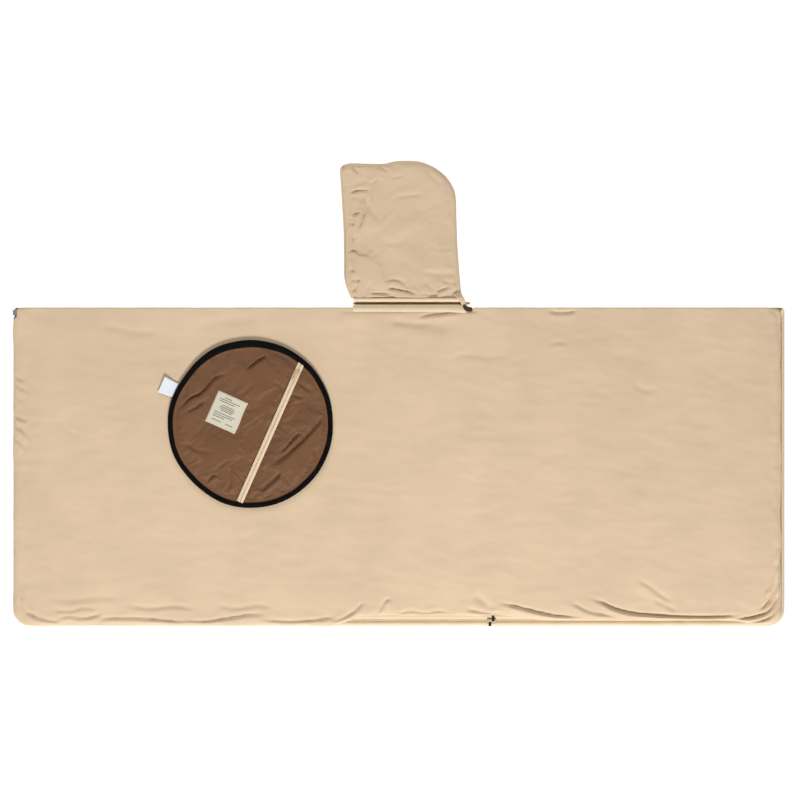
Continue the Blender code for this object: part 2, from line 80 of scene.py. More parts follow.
class Nodes:
    """A material's node tree, built from short calls."""

    def __init__(self, name, roughness, sheen=0.0, gloss=0.25):
        self.material = bpy.data.materials.new(name)
        self.material.use_nodes = True
        self.tree = self.material.node_tree
        self.shader = self.tree.nodes["Principled BSDF"]
        self.shader.inputs["Roughness"].default_value = roughness
        self.shader.inputs["Specular IOR Level"].default_value = gloss
        self.shader.inputs["Sheen Weight"].default_value = sheen
        self.shader.inputs["Sheen Roughness"].default_value = 0.6
        self.shader.inputs["Sheen Tint"].default_value = WARM_SHEEN
        self.object_place = self.add("ShaderNodeTexCoord").outputs["Object"]

    def add(self, kind, **values):
        node = self.tree.nodes.new(kind)
        for key, value in values.items():
            setattr(node, key, value)
        return node

    def link(self, source, target):
        self.tree.links.new(source, target)

    def place(self, scale=(1.0, 1.0, 1.0), turn=0.0):
        """The object's coordinates, stretched and turned about its Z."""
        node = self.add("ShaderNodeMapping")
        node.inputs["Scale"].default_value = scale
        node.inputs["Rotation"].default_value = (0.0, 0.0, turn)
        self.link(self.object_place, node.inputs["Vector"])
        return node.outputs["Vector"]

    def noise(self, scale, detail, stretch=(1.0, 1.0, 1.0)):
        node = self.add("ShaderNodeTexNoise")
        node.inputs["Scale"].default_value = scale
        node.inputs["Detail"].default_value = detail
        self.link(self.place(stretch), node.inputs["Vector"])
        return node.outputs["Fac"]

    def wave(self, pitch, direction, turn=0.0, distortion=0.0):
        """Bands whose period is pitch metres."""
        node = self.add("ShaderNodeTexWave", bands_direction=direction)
        node.inputs["Scale"].default_value = math.pi / (10 * pitch)
        node.inputs["Distortion"].default_value = distortion
        self.link(self.place(turn=turn), node.inputs["Vector"])
        return node.outputs["Fac"]

    def math(self, operation, first, second):
        node = self.add("ShaderNodeMath", operation=operation)
        for socket, value in zip(node.inputs, (first, second)):
            if isinstance(value, float):
                socket.default_value = value
            else:
                self.link(value, socket)
        return node.outputs[0]

    def colour(self, source, dark, light, low=0.3, high=0.7):
        """Colours the surface from dark to light as source goes from low to high."""
        node = self.add("ShaderNodeValToRGB")
        for stop, place, colour in zip(node.color_ramp.elements, (low, high), (dark, light)):
            stop.position = place
            stop.color = (*colour, 1.0)
        self.link(source, node.inputs["Fac"])
        self.link(node.outputs["Color"], self.shader.inputs["Base Color"])

    def bump(self, height, distance, strength):
        node = self.add("ShaderNodeBump")
        node.inputs["Strength"].default_value = strength
        node.inputs["Distance"].default_value = distance
        self.link(height, node.inputs["Height"])
        self.link(node.outputs["Normal"], self.shader.inputs["Normal"])


def weave(nodes, pitch):
    """A plain weave's height: warp and weft threads that cross."""
    warp = nodes.wave(pitch, "X")
    weft = nodes.wave(pitch, "Y")
    return nodes.math("MULTIPLY", warp, weft)


def srgb(red, green, blue):
    """A colour given in 8-bit sRGB as the linear values that shaders take."""
    values = (c / 255 for c in (red, green, blue))
    return tuple(c / 12.92 if c <= 0.04045 else ((c + 0.055) / 1.055) ** 2.4 for c in values)


def scaled(colour, factor):
    return tuple(c * factor for c in colour)


BEIGE = srgb(222, 196, 164)
CREAM = srgb(243, 222, 188)
BROWN = srgb(120, 83, 56)


def cloth_material(name, base, pitch=0.7 * MM):
    """Peached polyester: a fine weave with soft fibres, faintly mottled."""
    nodes = Nodes(name, roughness=0.88, sheen=0.25)
    patches = nodes.noise(9.0, 3.0)
    fibres = nodes.noise(900.0, 2.0)
    mixed = nodes.math("ADD", nodes.math("MULTIPLY", patches, 0.8), nodes.math("MULTIPLY", fibres, 0.2))
    nodes.colour(mixed, scaled(base, 0.94), scaled(base, 1.04))
    nodes.bump(nodes.math("ADD", weave(nodes, pitch), nodes.noise(260.0, 3.0)), 0.12 * MM, 0.5)
    return nodes.material


def nylon_material(name, base):
    """Thin coated nylon: a tight weave, a soft gloss and small crinkles."""
    nodes = Nodes(name, roughness=0.52, sheen=0.03, gloss=0.22)
    patches = nodes.noise(22.0, 3.0)
    nodes.colour(patches, scaled(base, 0.93), scaled(base, 1.07))
    crinkles = nodes.noise(120.0, 4.0, (1.0, 1.6, 1.0))
    threads = nodes.math("MULTIPLY", weave(nodes, 0.45 * MM), 0.25)
    nodes.bump(nodes.math("ADD", crinkles, threads), 0.5 * MM, 0.6)
    return nodes.material


def tape_material(name, base):
    """A zip's tape: a twill woven on the diagonal."""
    nodes = Nodes(name, roughness=0.85, sheen=0.2)
    twill = nodes.wave(1.6 * MM, "X", math.radians(38), 0.3)
    nodes.colour(twill, scaled(base, 0.86), scaled(base, 1.03), 0.1, 0.9)
    nodes.bump(twill, 0.2 * MM, 0.8)
    return nodes.material


def ribbed_material(name, base):
    """Grosgrain binding: a coarse, uneven surface, faded in patches."""
    nodes = Nodes(name, roughness=0.85, gloss=0.08)
    threads = nodes.noise(700.0, 1.0)
    wear = nodes.noise(30.0, 3.0)
    nodes.colour(wear, scaled(base, 0.6), scaled(base, 1.6))
    nodes.bump(threads, 0.25 * MM, 0.9)
    return nodes.material


def satin_material(name, base):
    nodes = Nodes(name, roughness=0.42, sheen=0.1)
    lines = nodes.wave(0.9 * MM, "X", 0.4)
    cloudy = nodes.noise(60.0, 2.0)
    nodes.colour(cloudy, scaled(base, 0.93), base)
    nodes.bump(lines, 0.08 * MM, 0.5)
    return nodes.material


def plastic_material(name, base, roughness):
    nodes = Nodes(name, roughness)
    grain = nodes.noise(1500.0, 2.0)
    mottle = nodes.noise(40.0, 2.0)
    nodes.colour(mottle, scaled(base, 0.92), scaled(base, 1.06))
    nodes.bump(grain, 0.05 * MM, 0.4)
    return nodes.material


def enamel_material(name, base):
    """Enamelled die-cast metal, worn through to bare zinc here and there."""
    nodes = Nodes(name, roughness=0.32)
    wear = nodes.noise(400.0, 4.0)
    nodes.colour(wear, base, (0.5, 0.5, 0.5), 0.66, 0.72)
    chipped = nodes.math("GREATER_THAN", wear, 0.69)
    nodes.link(chipped, nodes.shader.inputs["Metallic"])
    nodes.bump(nodes.noise(900.0, 2.0), 0.04 * MM, 0.4)
    return nodes.material


def wadding_material(name, base):
    nodes = Nodes(name, roughness=0.98, sheen=0.3)
    fluff = nodes.noise(180.0, 6.0)
    nodes.colour(fluff, scaled(base, 0.85), base)
    nodes.bump(fluff, 1.2 * MM, 0.8)
    return nodes.material


def carbon_material(name):
    """A carbon fibre heating net under clear film."""
    nodes = Nodes(name, roughness=0.35)
    net = nodes.math("MAXIMUM", nodes.wave(9 * MM, "X"), nodes.wave(9 * MM, "Y"))
    nodes.colour(net, (0.05, 0.045, 0.04), (0.012, 0.012, 0.014), 0.6, 0.9)
    nodes.bump(net, 0.2 * MM, 0.7)
    return nodes.material


LOOKS = {
    "beige_cloth": cloth_material("beige_peached_cloth", BEIGE),
    # The hood's cloth is the body's beige made 3% darker: painted shade for the hood, which lies at the
    # darker top.
    "hood_cloth": cloth_material("beige_hood_cloth", scaled(BEIGE, 0.97)),
    "seam_cloth": cloth_material("pale_seam_cloth", scaled(CREAM, 0.98), 0.6 * MM),
    "brown_nylon": nylon_material("brown_coated_nylon", BROWN),
    "cream_tape": tape_material("cream_zip_tape", CREAM),
    "cream_coil": plastic_material("cream_zip_coil", srgb(216, 184, 142), 0.45),
    "pouch_coil": plastic_material("pale_zip_coil", srgb(243, 220, 188), 0.7),
    # The neck's teeth are dark tan, partly their own colour and partly painted shade for the shaded gap
    # between the neck bands.
    "brown_coil": plastic_material("tan_neck_coil", srgb(128, 88, 50), 0.6),
    "black_binding": ribbed_material("black_grosgrain", (0.0035, 0.003, 0.003)),
    "dark_thread": plastic_material("black_thread", (0.006, 0.006, 0.006), 0.7),
    "dark_leather": plastic_material("brown_leather", srgb(74, 50, 32), 0.6),
    "bronze_metal": enamel_material("brown_enamel", srgb(62, 42, 26)),
    "white_satin": satin_material("white_satin_ribbon", srgb(238, 245, 252)),
    "label_cotton": cloth_material("label_cotton", srgb(219, 212, 191), 0.5 * MM),
    "thread": plastic_material("beige_thread", scaled(BEIGE, 0.9), 0.7),
    "ink": plastic_material("grey_ink", srgb(96, 92, 84), 0.7),
    "white_padding": wadding_material("white_wadding", (0.8, 0.79, 0.76)),
    "carbon_heater": carbon_material("carbon_heating_mat"),
    "wire_insulation": plastic_material("silicone_lead", (0.04, 0.04, 0.045), 0.45),
    "grey_plastic": plastic_material("grey_nylon_plastic", srgb(128, 136, 142), 0.5),
    "cream_enamel_metal": enamel_material("cream_enamel", srgb(214, 186, 150)),
    "black_pull": plastic_material("black_soft_plastic", (0.012, 0.012, 0.012), 0.5),
}


# ---------------------------------------------------------------- relief: noise and folds

def noise(x, y, seed):
    """Gradient noise from about -1 to 1, one cell per unit of x and y."""
    def corner(cell_x, cell_y):
        turn = np.sin(cell_x * 127.1 + cell_y * 311.7 + seed * 74.7) * 43758.5453
        turn = (turn - np.floor(turn)) * 2 * math.pi
        return np.cos(turn) * (x - cell_x) + np.sin(turn) * (y - cell_y)

    cell_x, cell_y = np.floor(x), np.floor(y)
    u, v = x - cell_x, y - cell_y
    u, v = u * u * u * (u * (u * 6 - 15) + 10), v * v * v * (v * (v * 6 - 15) + 10)
    low = corner(cell_x, cell_y) * (1 - u) + corner(cell_x + 1, cell_y) * u
    high = corner(cell_x, cell_y + 1) * (1 - u) + corner(cell_x + 1, cell_y + 1) * u
    return 1.5 * (low * (1 - v) + high * v)


def smooth(value, low, high):
    """0 below low, 1 above high, and smooth between."""
    t = np.clip((value - low) / (high - low), 0.0, 1.0)
    return t * t * (3 - 2 * t)


def rounded(distance, radius):
    """The height, from 0 to 1, of a rounded edge at a distance in from it."""
    return np.sqrt(np.clip(1 - (1 - np.clip(distance / radius, 0, 1)) ** 2, 0, 1))


def hump(offset, width):
    """1 at no offset, falling smoothly to 0 on both sides."""
    return np.exp(-(offset / width) ** 2)


def xyz(x, y, z):
    """Points from their coordinates, each an array or one number."""
    return np.stack(np.broadcast_arrays(x, y, z), axis=-1)


def wrinkles(x, y, length, width, seed, turn=0.0):
    """Soft ridges, longer along x than y, which wander and fade in and out."""
    across = x * math.cos(turn) + y * math.sin(turn)
    up = -x * math.sin(turn) + y * math.cos(turn)
    up = up + 0.6 * width * noise(across / length, up / (3 * width), seed + 11)
    fade = 0.5 + 0.5 * noise(across / (1.7 * length), up / (4 * width), seed + 23)
    return fade * noise(across / length, up / width, seed)


def curve_through(points, steps=8):
    """Points on a smooth curve through the given ones."""
    points = np.array(points, float)
    padded = np.vstack([2 * points[0] - points[1], points, 2 * points[-1] - points[-2]])
    found = []
    for i in range(len(points) - 1):
        p0, p1, p2, p3 = padded[i:i + 4]
        for t in np.arange(steps) / steps:
            found.append(0.5 * (
                2 * p1 + (p2 - p0) * t + (2 * p0 - 5 * p1 + 4 * p2 - p3) * t ** 2
                + (3 * p1 - p0 - 3 * p2 + p3) * t ** 3
            ))
    found.append(points[-1])
    return np.array(found)


def fold(x, y, points, depth, width, swell, side=-1):
    """A crease along the points, in millimetres, with a ridge on its right, or on its left if side is 1."""
    line = curve_through(np.array(points) * MM)
    depth, width, swell = depth * MM, width * MM, swell * MM
    reach = 7 * width
    near = (
        (x > line[:, 0].min() - reach) & (x < line[:, 0].max() + reach)
        & (y > line[:, 1].min() - reach) & (y < line[:, 1].max() + reach)
    )
    px, py = x[near], y[near]
    best = np.full(px.shape, 1e9)
    signed = np.zeros(px.shape)
    along = np.zeros(px.shape)
    for i in range(len(line) - 1):
        (ax, ay), (bx, by) = line[i], line[i + 1]
        dx, dy = bx - ax, by - ay
        t = np.clip(((px - ax) * dx + (py - ay) * dy) / (dx * dx + dy * dy), 0, 1)
        off_x, off_y = px - ax - t * dx, py - ay - t * dy
        distance = np.hypot(off_x, off_y)
        closer = distance < best
        best = np.where(closer, distance, best)
        turn = np.sign(dx * off_y - dy * off_x)
        signed = np.where(closer, turn * distance, signed)
        along = np.where(closer, (i + t) / (len(line) - 1), along)
    taper = smooth(along, 0.0, 0.22) * (1 - smooth(along, 0.8, 1.0))
    valley = -depth * hump(best, width)
    off = (signed * side - 1.7 * width) / width
    bulge = swell * hump(off, np.where(off > 0, 2.4, 1.0))
    height = np.zeros(x.shape)
    height[near] = taper * (valley + bulge)
    return height


def folds(x, y, listed):
    total = np.zeros(x.shape)
    for entry in listed:
        total += fold(x, y, *entry)
    return total


# ---------------------------------------------------------------- meshes

def make_object(name, points, faces, looks):
    mesh = bpy.data.meshes.new(name)
    mesh.from_pydata([tuple(p) for p in points], [], [tuple(f) for f in faces])
    for look in looks:
        mesh.materials.append(LOOKS[look])
    mesh.shade_smooth()
    mesh.update()
    made = bpy.data.objects.new(name, mesh)
    bpy.context.scene.collection.objects.link(made)
    return made


def grid_faces(rows, columns, start=0, flip=False):
    """Quads over a grid of rows by columns points, numbered from start."""
    i, j = np.meshgrid(np.arange(rows - 1), np.arange(columns - 1), indexing="ij")
    a = (start + i * columns + j).ravel()
    quads = np.stack([a, a + 1, a + columns + 1, a + columns], axis=1)
    return quads[:, ::-1] if flip else quads


def border(rows, columns):
    """The numbers of a grid's border points, once round."""
    low = [(0, j) for j in range(columns)]
    right = [(i, columns - 1) for i in range(1, rows)]
    high = [(rows - 1, j) for j in range(columns - 2, -1, -1)]
    left = [(i, 0) for i in range(rows - 2, 0, -1)]
    return np.array([i * columns + j for i, j in low + right + high + left])


def band_faces(first, second):
    """Quads between two closed loops of point numbers."""
    return np.stack([first, np.roll(first, -1), np.roll(second, -1), second], axis=1)


def padded_solid(name, top, rims, bottom, looks):
    """A closed body: a top grid, loops of points down its edge, and a bottom grid of the same size."""
    rows, columns = top.shape[:2]
    count = rows * columns
    edge = border(rows, columns)
    points = [top.reshape(-1, 3)]
    faces = [grid_faces(rows, columns)]
    last = edge
    start = count
    for rim in rims:
        loop = start + np.arange(len(edge))
        points.append(rim)
        faces.append(band_faces(loop, last))
        last = loop
        start += len(edge)
    points.append(bottom.reshape(-1, 3))
    faces.append(band_faces(start + edge, last))
    faces.append(grid_faces(rows, columns, start, flip=True))
    return make_object(name, np.vstack(points), np.vstack(faces), looks)


def bar_object(name, lines, looks):
    """A closed bar over lines of points along it, each with the same count, with a flat face at both ends."""
    lines = np.array(lines, float)
    count, length = lines.shape[:2]
    first, last = np.arange(length - 1), (count - 1) * length + np.arange(length - 1)
    sides = np.vstack([grid_faces(count, length), np.stack([last, last + 1, first + 1, first], axis=1)])
    ends = [range(0, count * length, length)[::-1], range(length - 1, count * length, length)]
    return make_object(name, lines.reshape(-1, 3), [*sides, *ends], looks)


def ring_object(name, lines, looks):
    """A closed tube or plate over closed lines of points, the last joined back to the first."""
    lines = np.array(lines, float)
    numbers = np.arange(lines.shape[0] * lines.shape[1]).reshape(lines.shape[:2])
    loops = zip(numbers, np.roll(numbers, -1, axis=0))
    faces = [band_faces(first, second) for first, second in loops]
    return make_object(name, lines.reshape(-1, 3), np.vstack(faces), looks)


def copies(name, shape, places, tangents, normals, look):
    """Many copies of one small shape in one mesh, with its x along the tangents and its y along the normals.

    One tangent or normal can serve every place.
    """
    shape_points, shape_faces = np.array(shape[0], float), shape[1]
    tangents, normals = (np.broadcast_to(a, places.shape) for a in (tangents, normals))
    ups = np.cross(tangents, normals)
    ups *= np.sign(ups[:, 2:3]) + (ups[:, 2:3] == 0)
    points = (
        places[:, None] + shape_points[None, :, 0:1] * tangents[:, None]
        + shape_points[None, :, 1:2] * normals[:, None] + shape_points[None, :, 2:3] * ups[:, None]
    ).reshape(-1, 3)
    step = len(shape_points)
    faces = [tuple(step * k + i for i in face) for k in range(len(places)) for face in shape_faces]
    return make_object(name, points, faces, [look])


BAR_RINGS = ((-0.5, 0.35), (-0.42, 0.8), (0.0, 1.0), (0.42, 0.8), (0.5, 0.35))
TOOTH_RINGS = ((-0.5, 0.55), (0.0, 1.0), (0.5, 0.55))


def capsule(length, width, height, sides=5, rings=BAR_RINGS):
    """A small rounded bar along x, as (points, faces). A ring is a place along it and a girth."""
    points, faces = [], []
    for place, girth in rings:
        for k in range(sides):
            a = math.tau * k / sides
            points.append((place * length, math.cos(a) * girth * width / 2, math.sin(a) * girth * height / 2))
    for ring in range(len(rings) - 1):
        for k in range(sides):
            a, b = ring * sides + k, ring * sides + (k + 1) % sides
            faces.append((a, b, b + sides, a + sides))
    faces.append(tuple(range(sides))[::-1])
    faces.append(tuple(range((len(rings) - 1) * sides, len(rings) * sides)))
    return points, faces


def path_run(path):
    """The distance along a path to each of its points."""
    return np.concatenate([[0.0], np.cumsum(np.linalg.norm(np.diff(path, axis=0), axis=1))])


def points_at(path, at):
    """The points at the given distances along a path."""
    run = path_run(path)
    return np.stack([np.interp(at, run, column) for column in path.T], axis=1)


def directions(places):
    """Unit vectors along a row of places."""
    along = np.gradient(places, axis=0)
    return along / np.linalg.norm(along, axis=1)[:, None]


def resampled(path, pitch):
    """(places, tangents, normals) every pitch metres along a path. A normal points to the path's left."""
    places = points_at(path, np.arange(pitch / 2, path_run(path)[-1], pitch))
    tangents = directions(places * (1, 1, 0))
    return places, tangents, xyz(-tangents[:, 1], tangents[:, 0], 0.0)


def stitches(name, path, look="thread", pitch=3.6 * MM):
    """A row of thread stitches along a path."""
    return copies(name, capsule(2.7 * MM, 0.55 * MM, 0.44 * MM), *resampled(path, pitch), look)


def put(piece, body, replaced=()):
    """The piece rides on a body and stands for the CAD nodes that it replaces."""
    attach(piece, body)
    if replaced:
        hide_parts(*replaced)
    return piece


def graded(low, high, step, fine=1.2 * MM, reach=40 * MM):
    """Coordinates from low to high whose steps grow from fine at both ends to step."""
    near, gap = [0.0], fine
    while near[-1] < reach:
        near.append(near[-1] + gap)
        gap = min(step, gap * 1.22)
    near = np.array(near)
    middle = high - low - 2 * near[-1]
    inner = low + near[-1] + np.arange(1, math.ceil(middle / step)) * middle / math.ceil(middle / step)
    return np.concatenate([low + near, inner, (high - near)[::-1]])


def rounded_grid(xs, ys, radii):
    """(x, y, distance to the edge) of a grid whose corners are rounded.

    The radii are those of the low-left, low-right, high-left and high-right corners.
    """
    x, y = np.meshgrid(xs, ys)
    edge = np.minimum.reduce([x - xs[0], xs[-1] - x, y - ys[0], ys[-1] - y])
    for k, radius in enumerate(radii):
        right, high = k % 2, k // 2
        out_x = (x - (xs[-1] - radius)) if right else ((xs[0] + radius) - x)
        out_y = (y - (ys[-1] - radius)) if high else ((ys[0] + radius) - y)
        inside = (out_x > 0) & (out_y > 0)
        u, v = np.clip(out_x, 0, radius) / radius, np.clip(out_y, 0, radius) / radius
        new_u, new_v = u * np.sqrt(1 - v * v / 2), v * np.sqrt(1 - u * u / 2)
        x = np.where(inside, x + (1 if right else -1) * (new_u - u) * radius, x)
        y = np.where(inside, y + (1 if high else -1) * (new_v - v) * radius, y)
        edge = np.where(inside, np.maximum(radius - np.hypot(new_u, new_v) * radius, 0.0), edge)
    return x, y, edge


# ---------------------------------------------------------------- front panel's cover

GRID_STEP = 4.2 * MM
COVER_LEFT, COVER_RIGHT = BODY_LOW.x + 1.5 * MM, BODY_HIGH.x - 9.5 * MM
COVER_LOW_Y = BODY_LOW.y + 3 * MM
COVER_NOSE_Z = FLAT_Z - 6 * MM
COVER_UNDER_Z = TAPE_HIGH.z + 5 * MM
COVER_FLOOR_Z = FLAT_Z - 11.8 * MM
INLET_LOW, INLET_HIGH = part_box("power_inlet")
INLET_SETBACK = 7.5 * MM
# Low-left, low-right, high-left and high-right
COVER_RADII = (36 * MM, 34 * MM, 7 * MM, 13 * MM)
COVER_EDGE_R = 17 * MM
COVER_HEM = 24 * MM
WADDING_STEP = 14 * MM
WADDING_INSET = 14 * MM

# Each: points in millimetres, depth, width and swell, and 1 where it swells on its left
COVER_FOLDS = (
    ([(228, -312), (281, -325), (328, -337), (372, -345), (432, -348)], 5.5, 3.6, 4.5),
    ([(438, -299), (474, -314), (500, -327), (541, -338), (600, -344), (668, -347), (740, -347), (830, -339)],
     7, 3.6, 5.5),
    ([(560, -341), (640, -347), (720, -348), (800, -345)], 3, 3.4, 2.5),
    ([(400, -312), (427, -328), (458, -339), (510, -347)], 4, 3.4, 3),
    ([(770, -352), (815, -350), (850, -340), (870, -322), (886, -286)], 8, 3.4, 6),
    ([(790, -364), (846, -356), (872, -340), (888, -306)], 6.5, 3.0, 5),
    ([(832, -336), (856, -318), (868, -294), (882, -240)], 6.5, 3.2, 5),
    ([(848, -300), (862, -276), (872, -248), (884, -212)], 5, 3.2, 4),
    ([(872, -300), (878, -280), (886, -262)], 5, 3.0, 4),
    ([(866, -226), (874, -200), (884, -182)], 3, 3.4, 2),
    ([(551, -257), (583, -276), (614, -299), (636, -312)], 2.4, 5, 1.8),
    ([(590, -305), (620, -320), (650, -336)], 2.5, 5, 1.5),
    ([(-62, -349), (-50, -338), (-41, -324), (-32, -310), (-16, -303)], 3.5, 4, 2.4),
    ([(-165, -358), (-135, -352), (-106, -336), (-92, -322), (-84, -312)], 3.5, 4, 2.4),
    ([(-12, -346), (10, -338), (31, -334), (61, -340), (92, -334), (125, -343)], 3, 4, 2.4),
    ([(150, -328), (190, -336), (215, -341), (250, -344)], 5.5, 4.5, 2.8),
    ([(172, -292), (200, -314), (216, -336)], 3.8, 9, 0.6),
    ([(-868, -334), (-846, -347), (-815, -356), (-785, -359)], 3.8, 3.6, 2.8),
    ([(-800, -352), (-770, -346), (-735, -350), (-706, -345), (-690, -338)], 3.6, 3.6, 2.6),
    ([(-716, -354), (-660, -350), (-600, -351), (-540, -356), (-480, -360)], 3.8, 3.6, 3),
    ([(-520, -352), (-461, -358), (-409, -352), (-357, -343), (-305, -340)], 3.8, 3.6, 3),
    ([(-330, -352), (-260, -358), (-190, -354), (-140, -346)], 4, 3.8, 2.6),
    ([(-886, -300), (-878, -322), (-862, -338), (-842, -346)], 3.5, 3.6, 2.6, 1),
    ([(-812, -328), (-770, -334), (-735, -326), (-700, -330)], 2.6, 4, 2),
    ([(-640, -318), (-580, -327), (-520, -322), (-470, -331)], 2.4, 5, 2),
    ([(-430, -318), (-380, -327), (-330, -320), (-290, -326)], 2.0, 5, 1.6),
    ([(-820, -300), (-760, -308), (-690, -301), (-640, -309)], 1.6, 8, 1.2),
    ([(-894, 216), (-884, 205), (-870, 201)], 3.6, 3.0, 2.6),
    ([(-894, 198), (-882, 186), (-868, 178), (-862, 166)], 3.4, 3.2, 2.6),
    ([(-894, 172), (-884, 160), (-874, 146)], 3.0, 3.0, 2.2),
    ([(-894, 122), (-880, 112), (-864, 108)], 4, 3.0, 3),
    ([(-892, 98), (-880, 88), (-866, 76), (-858, 60)], 4, 3.2, 3),
    ([(-892, 68), (-880, 56), (-868, 40)], 3.4, 3.2, 3),
    ([(-889, 186), (-872, 170), (-852, 140), (-838, 95)], 1.6, 6, 1.2, 1),
    ([(-780, 104), (-765, 82), (-744, 74)], 1.4, 6, 1.2, 1),
    ([(-700, 333), (-650, 322), (-600, 316), (-556, 318)], 1.6, 8, 1.2),
    ([(-480, 322), (-430, 338), (-370, 346), (-300, 340)], 2.2, 13, 1.0),
    ([(38, 350), (75, 355), (110, 359), (150, 362)], 5, 3.6, 3),
    ([(-24, 341), (10, 337), (44, 335), (86, 340)], 2.8, 7, 1.6),
    ([(20, 326), (70, 330), (120, 324)], 1.6, 12, 1.0),
    ([(350, 368), (360, 362), (378, 360), (400, 362), (414, 368)], 4.5, 4, 1.5),
    ([(345, 284), (368, 292), (395, 290)], 1.8, 5, 1.4),
    ([(120, 255), (160, 263), (205, 258), (262, 262)], 1.4, 7, 1.0),
    ([(540, 196), (575, 180), (600, 186)], 1.4, 7, 1.0),
    ([(862, 368), (876, 360), (882, 344), (882, 300)], 1.8, 3, 1.2, 1),
)


def cover_bottom_y(x):
    """The cover's lower edge: it hangs over the zip except between the left third and the right corner."""
    bare = smooth(x, -160 * MM, -70 * MM) * (1 - smooth(x, 770 * MM, 850 * MM))
    deeper = smooth(x, 240 * MM, 340 * MM)
    return COVER_LOW_Y + bare * (23 * MM - 11.5 * MM * deeper)


def cover_relief(x, y, edge):
    """Height of the soft cloth above its flat level."""
    broad = 1.4 * MM * noise(x / 0.34, y / 0.2, 3) + 1.3 * MM * noise(x / 0.15, y / 0.09, 5)
    long = 1.3 * MM * wrinkles(x, y, 0.09, 0.028, 7, 0.03) + 0.8 * MM * wrinkles(x, y, 0.07, 0.02, 13, -0.2)
    short = 0.7 * MM * wrinkles(x, y, 0.04, 0.015, 17, -0.12)
    patchy = smooth(noise(x / 0.2, y / 0.12, 29), -0.25, 0.5)
    crinkled = 0.6 * MM * wrinkles(x, y, 0.03, 0.012, 31, 0.7) * patchy
    near = 1 - smooth(edge, 12 * MM, 60 * MM)
    puckered = 1.0 * MM * near * noise(x / 0.022, y / 0.022, 41)
    return broad + long + short + crinkled + puckered + folds(x, y, COVER_FOLDS)


def under_pouch(x, y):
    """1 under the pouch, and 0 well away from it."""
    away = np.hypot(x - POUCH_MID.x, y - POUCH_MID.y)
    return 1 - smooth(away, POUCH_R + 4 * MM, POUCH_R + 45 * MM)


def pouch_path(x, y):
    """1 where the pouch can slide to, so that the cloth there has to stay below it, and 0 elsewhere."""
    aside = np.abs(x - POUCH_MID.x - 4 * MM) - (POUCH_R + 34 * MM)
    above = y - POUCH_MID.y - POUCH_R
    return (1 - smooth(aside, 0, 60 * MM)) * (1 - smooth(above, 5 * MM, 60 * MM))


def cover_points(step):
    """The cover's top as a grid of points."""
    xs = graded(COVER_LEFT, COVER_RIGHT, step)
    ys = graded(BODY_LOW.y, FOLD_Y, step)
    x, y, edge = rounded_grid(xs, ys, COVER_RADII)
    lift = cover_bottom_y(x) - BODY_LOW.y
    y = y + lift * (1 - smooth(y, BODY_LOW.y, BODY_LOW.y + 130 * MM))
    sway = 1.8 * MM * noise(x / 0.07, y / 0.07, 51) + 0.9 * MM * noise(x / 0.03, y / 0.03, 53)
    sway *= 1 - smooth(edge, 0, 30 * MM)
    y = y + sway * (1 - smooth(y - BODY_LOW.y, 20 * MM, 60 * MM))
    at_left, at_right = 1 - smooth(x - COVER_LEFT, 0, 60 * MM), 1 - smooth(COVER_RIGHT - x, 0, 60 * MM)
    by_inlet = smooth(y, INLET_LOW.y - 12 * MM, INLET_LOW.y - 2 * MM)
    x = x + (INLET_SETBACK * by_inlet + np.maximum(sway, -2 * MM)) * at_left + 1.3 * sway * at_right
    to_side = np.minimum(x - COVER_LEFT - INLET_SETBACK * by_inlet, COVER_RIGHT - x)
    open_edge = np.minimum(to_side, y - cover_bottom_y(x))
    from_corner = smooth(to_side, 16 * MM, 60 * MM) * smooth(y, 0, FOLD_Y - 60 * MM)
    edge = edge * (1 - from_corner) + open_edge * from_corner
    rise = rounded(edge, COVER_EDGE_R)
    relief = cover_relief(x, y, edge) * smooth(edge, 0, 9 * MM)
    flat = FLAT_Z - 0.6 * MM
    pressed = under_pouch(x, y)
    relief = relief * (1 - pressed) + np.minimum(relief, 0.3 * MM) * 0.3 * pressed
    puffed = 1.6 * MM * (1 - pressed) * smooth(edge, 5 * MM, 90 * MM)
    nose = COVER_NOSE_Z - 3 * MM * (1 - smooth(to_side, 5 * MM, 30 * MM)) * (1 - by_inlet * (x < 0))
    path = pouch_path(x, y) * (1 - pressed)
    z = nose + (flat - nose) * rise + relief + puffed - 3.0 * MM * path * smooth(edge, 0, 30 * MM)
    z = np.where(path > 0.5, np.minimum(z, BINDING_LOW.z - 0.2 * MM), z)
    neck_mid, neck_half = (COLLAR_LOW.x + COLLAR_HIGH.x) / 2, (COLLAR_HIGH.x - COLLAR_LOW.x) / 2
    from_neck = np.abs(x - neck_mid) - neck_half
    tucked = smooth(y, 357 * MM, 363 * MM) * (1 - smooth(from_neck, 14 * MM, 38 * MM))
    z = z * (1 - tucked) + (FLAT_Z - 1.6 * MM) * tucked
    return xyz(x, y, z)


def edge_of(grid):
    """A grid's border points, once round."""
    return grid.reshape(-1, 3)[border(*grid.shape[:2])]


def walls(outer, inner, loops):
    """Loops of points between two edges, each from its share of the way in and its height."""
    found = []
    for share, z in loops:
        found.append(outer + (inner - outer) * share)
        found[-1][:, 2] = z
    return found


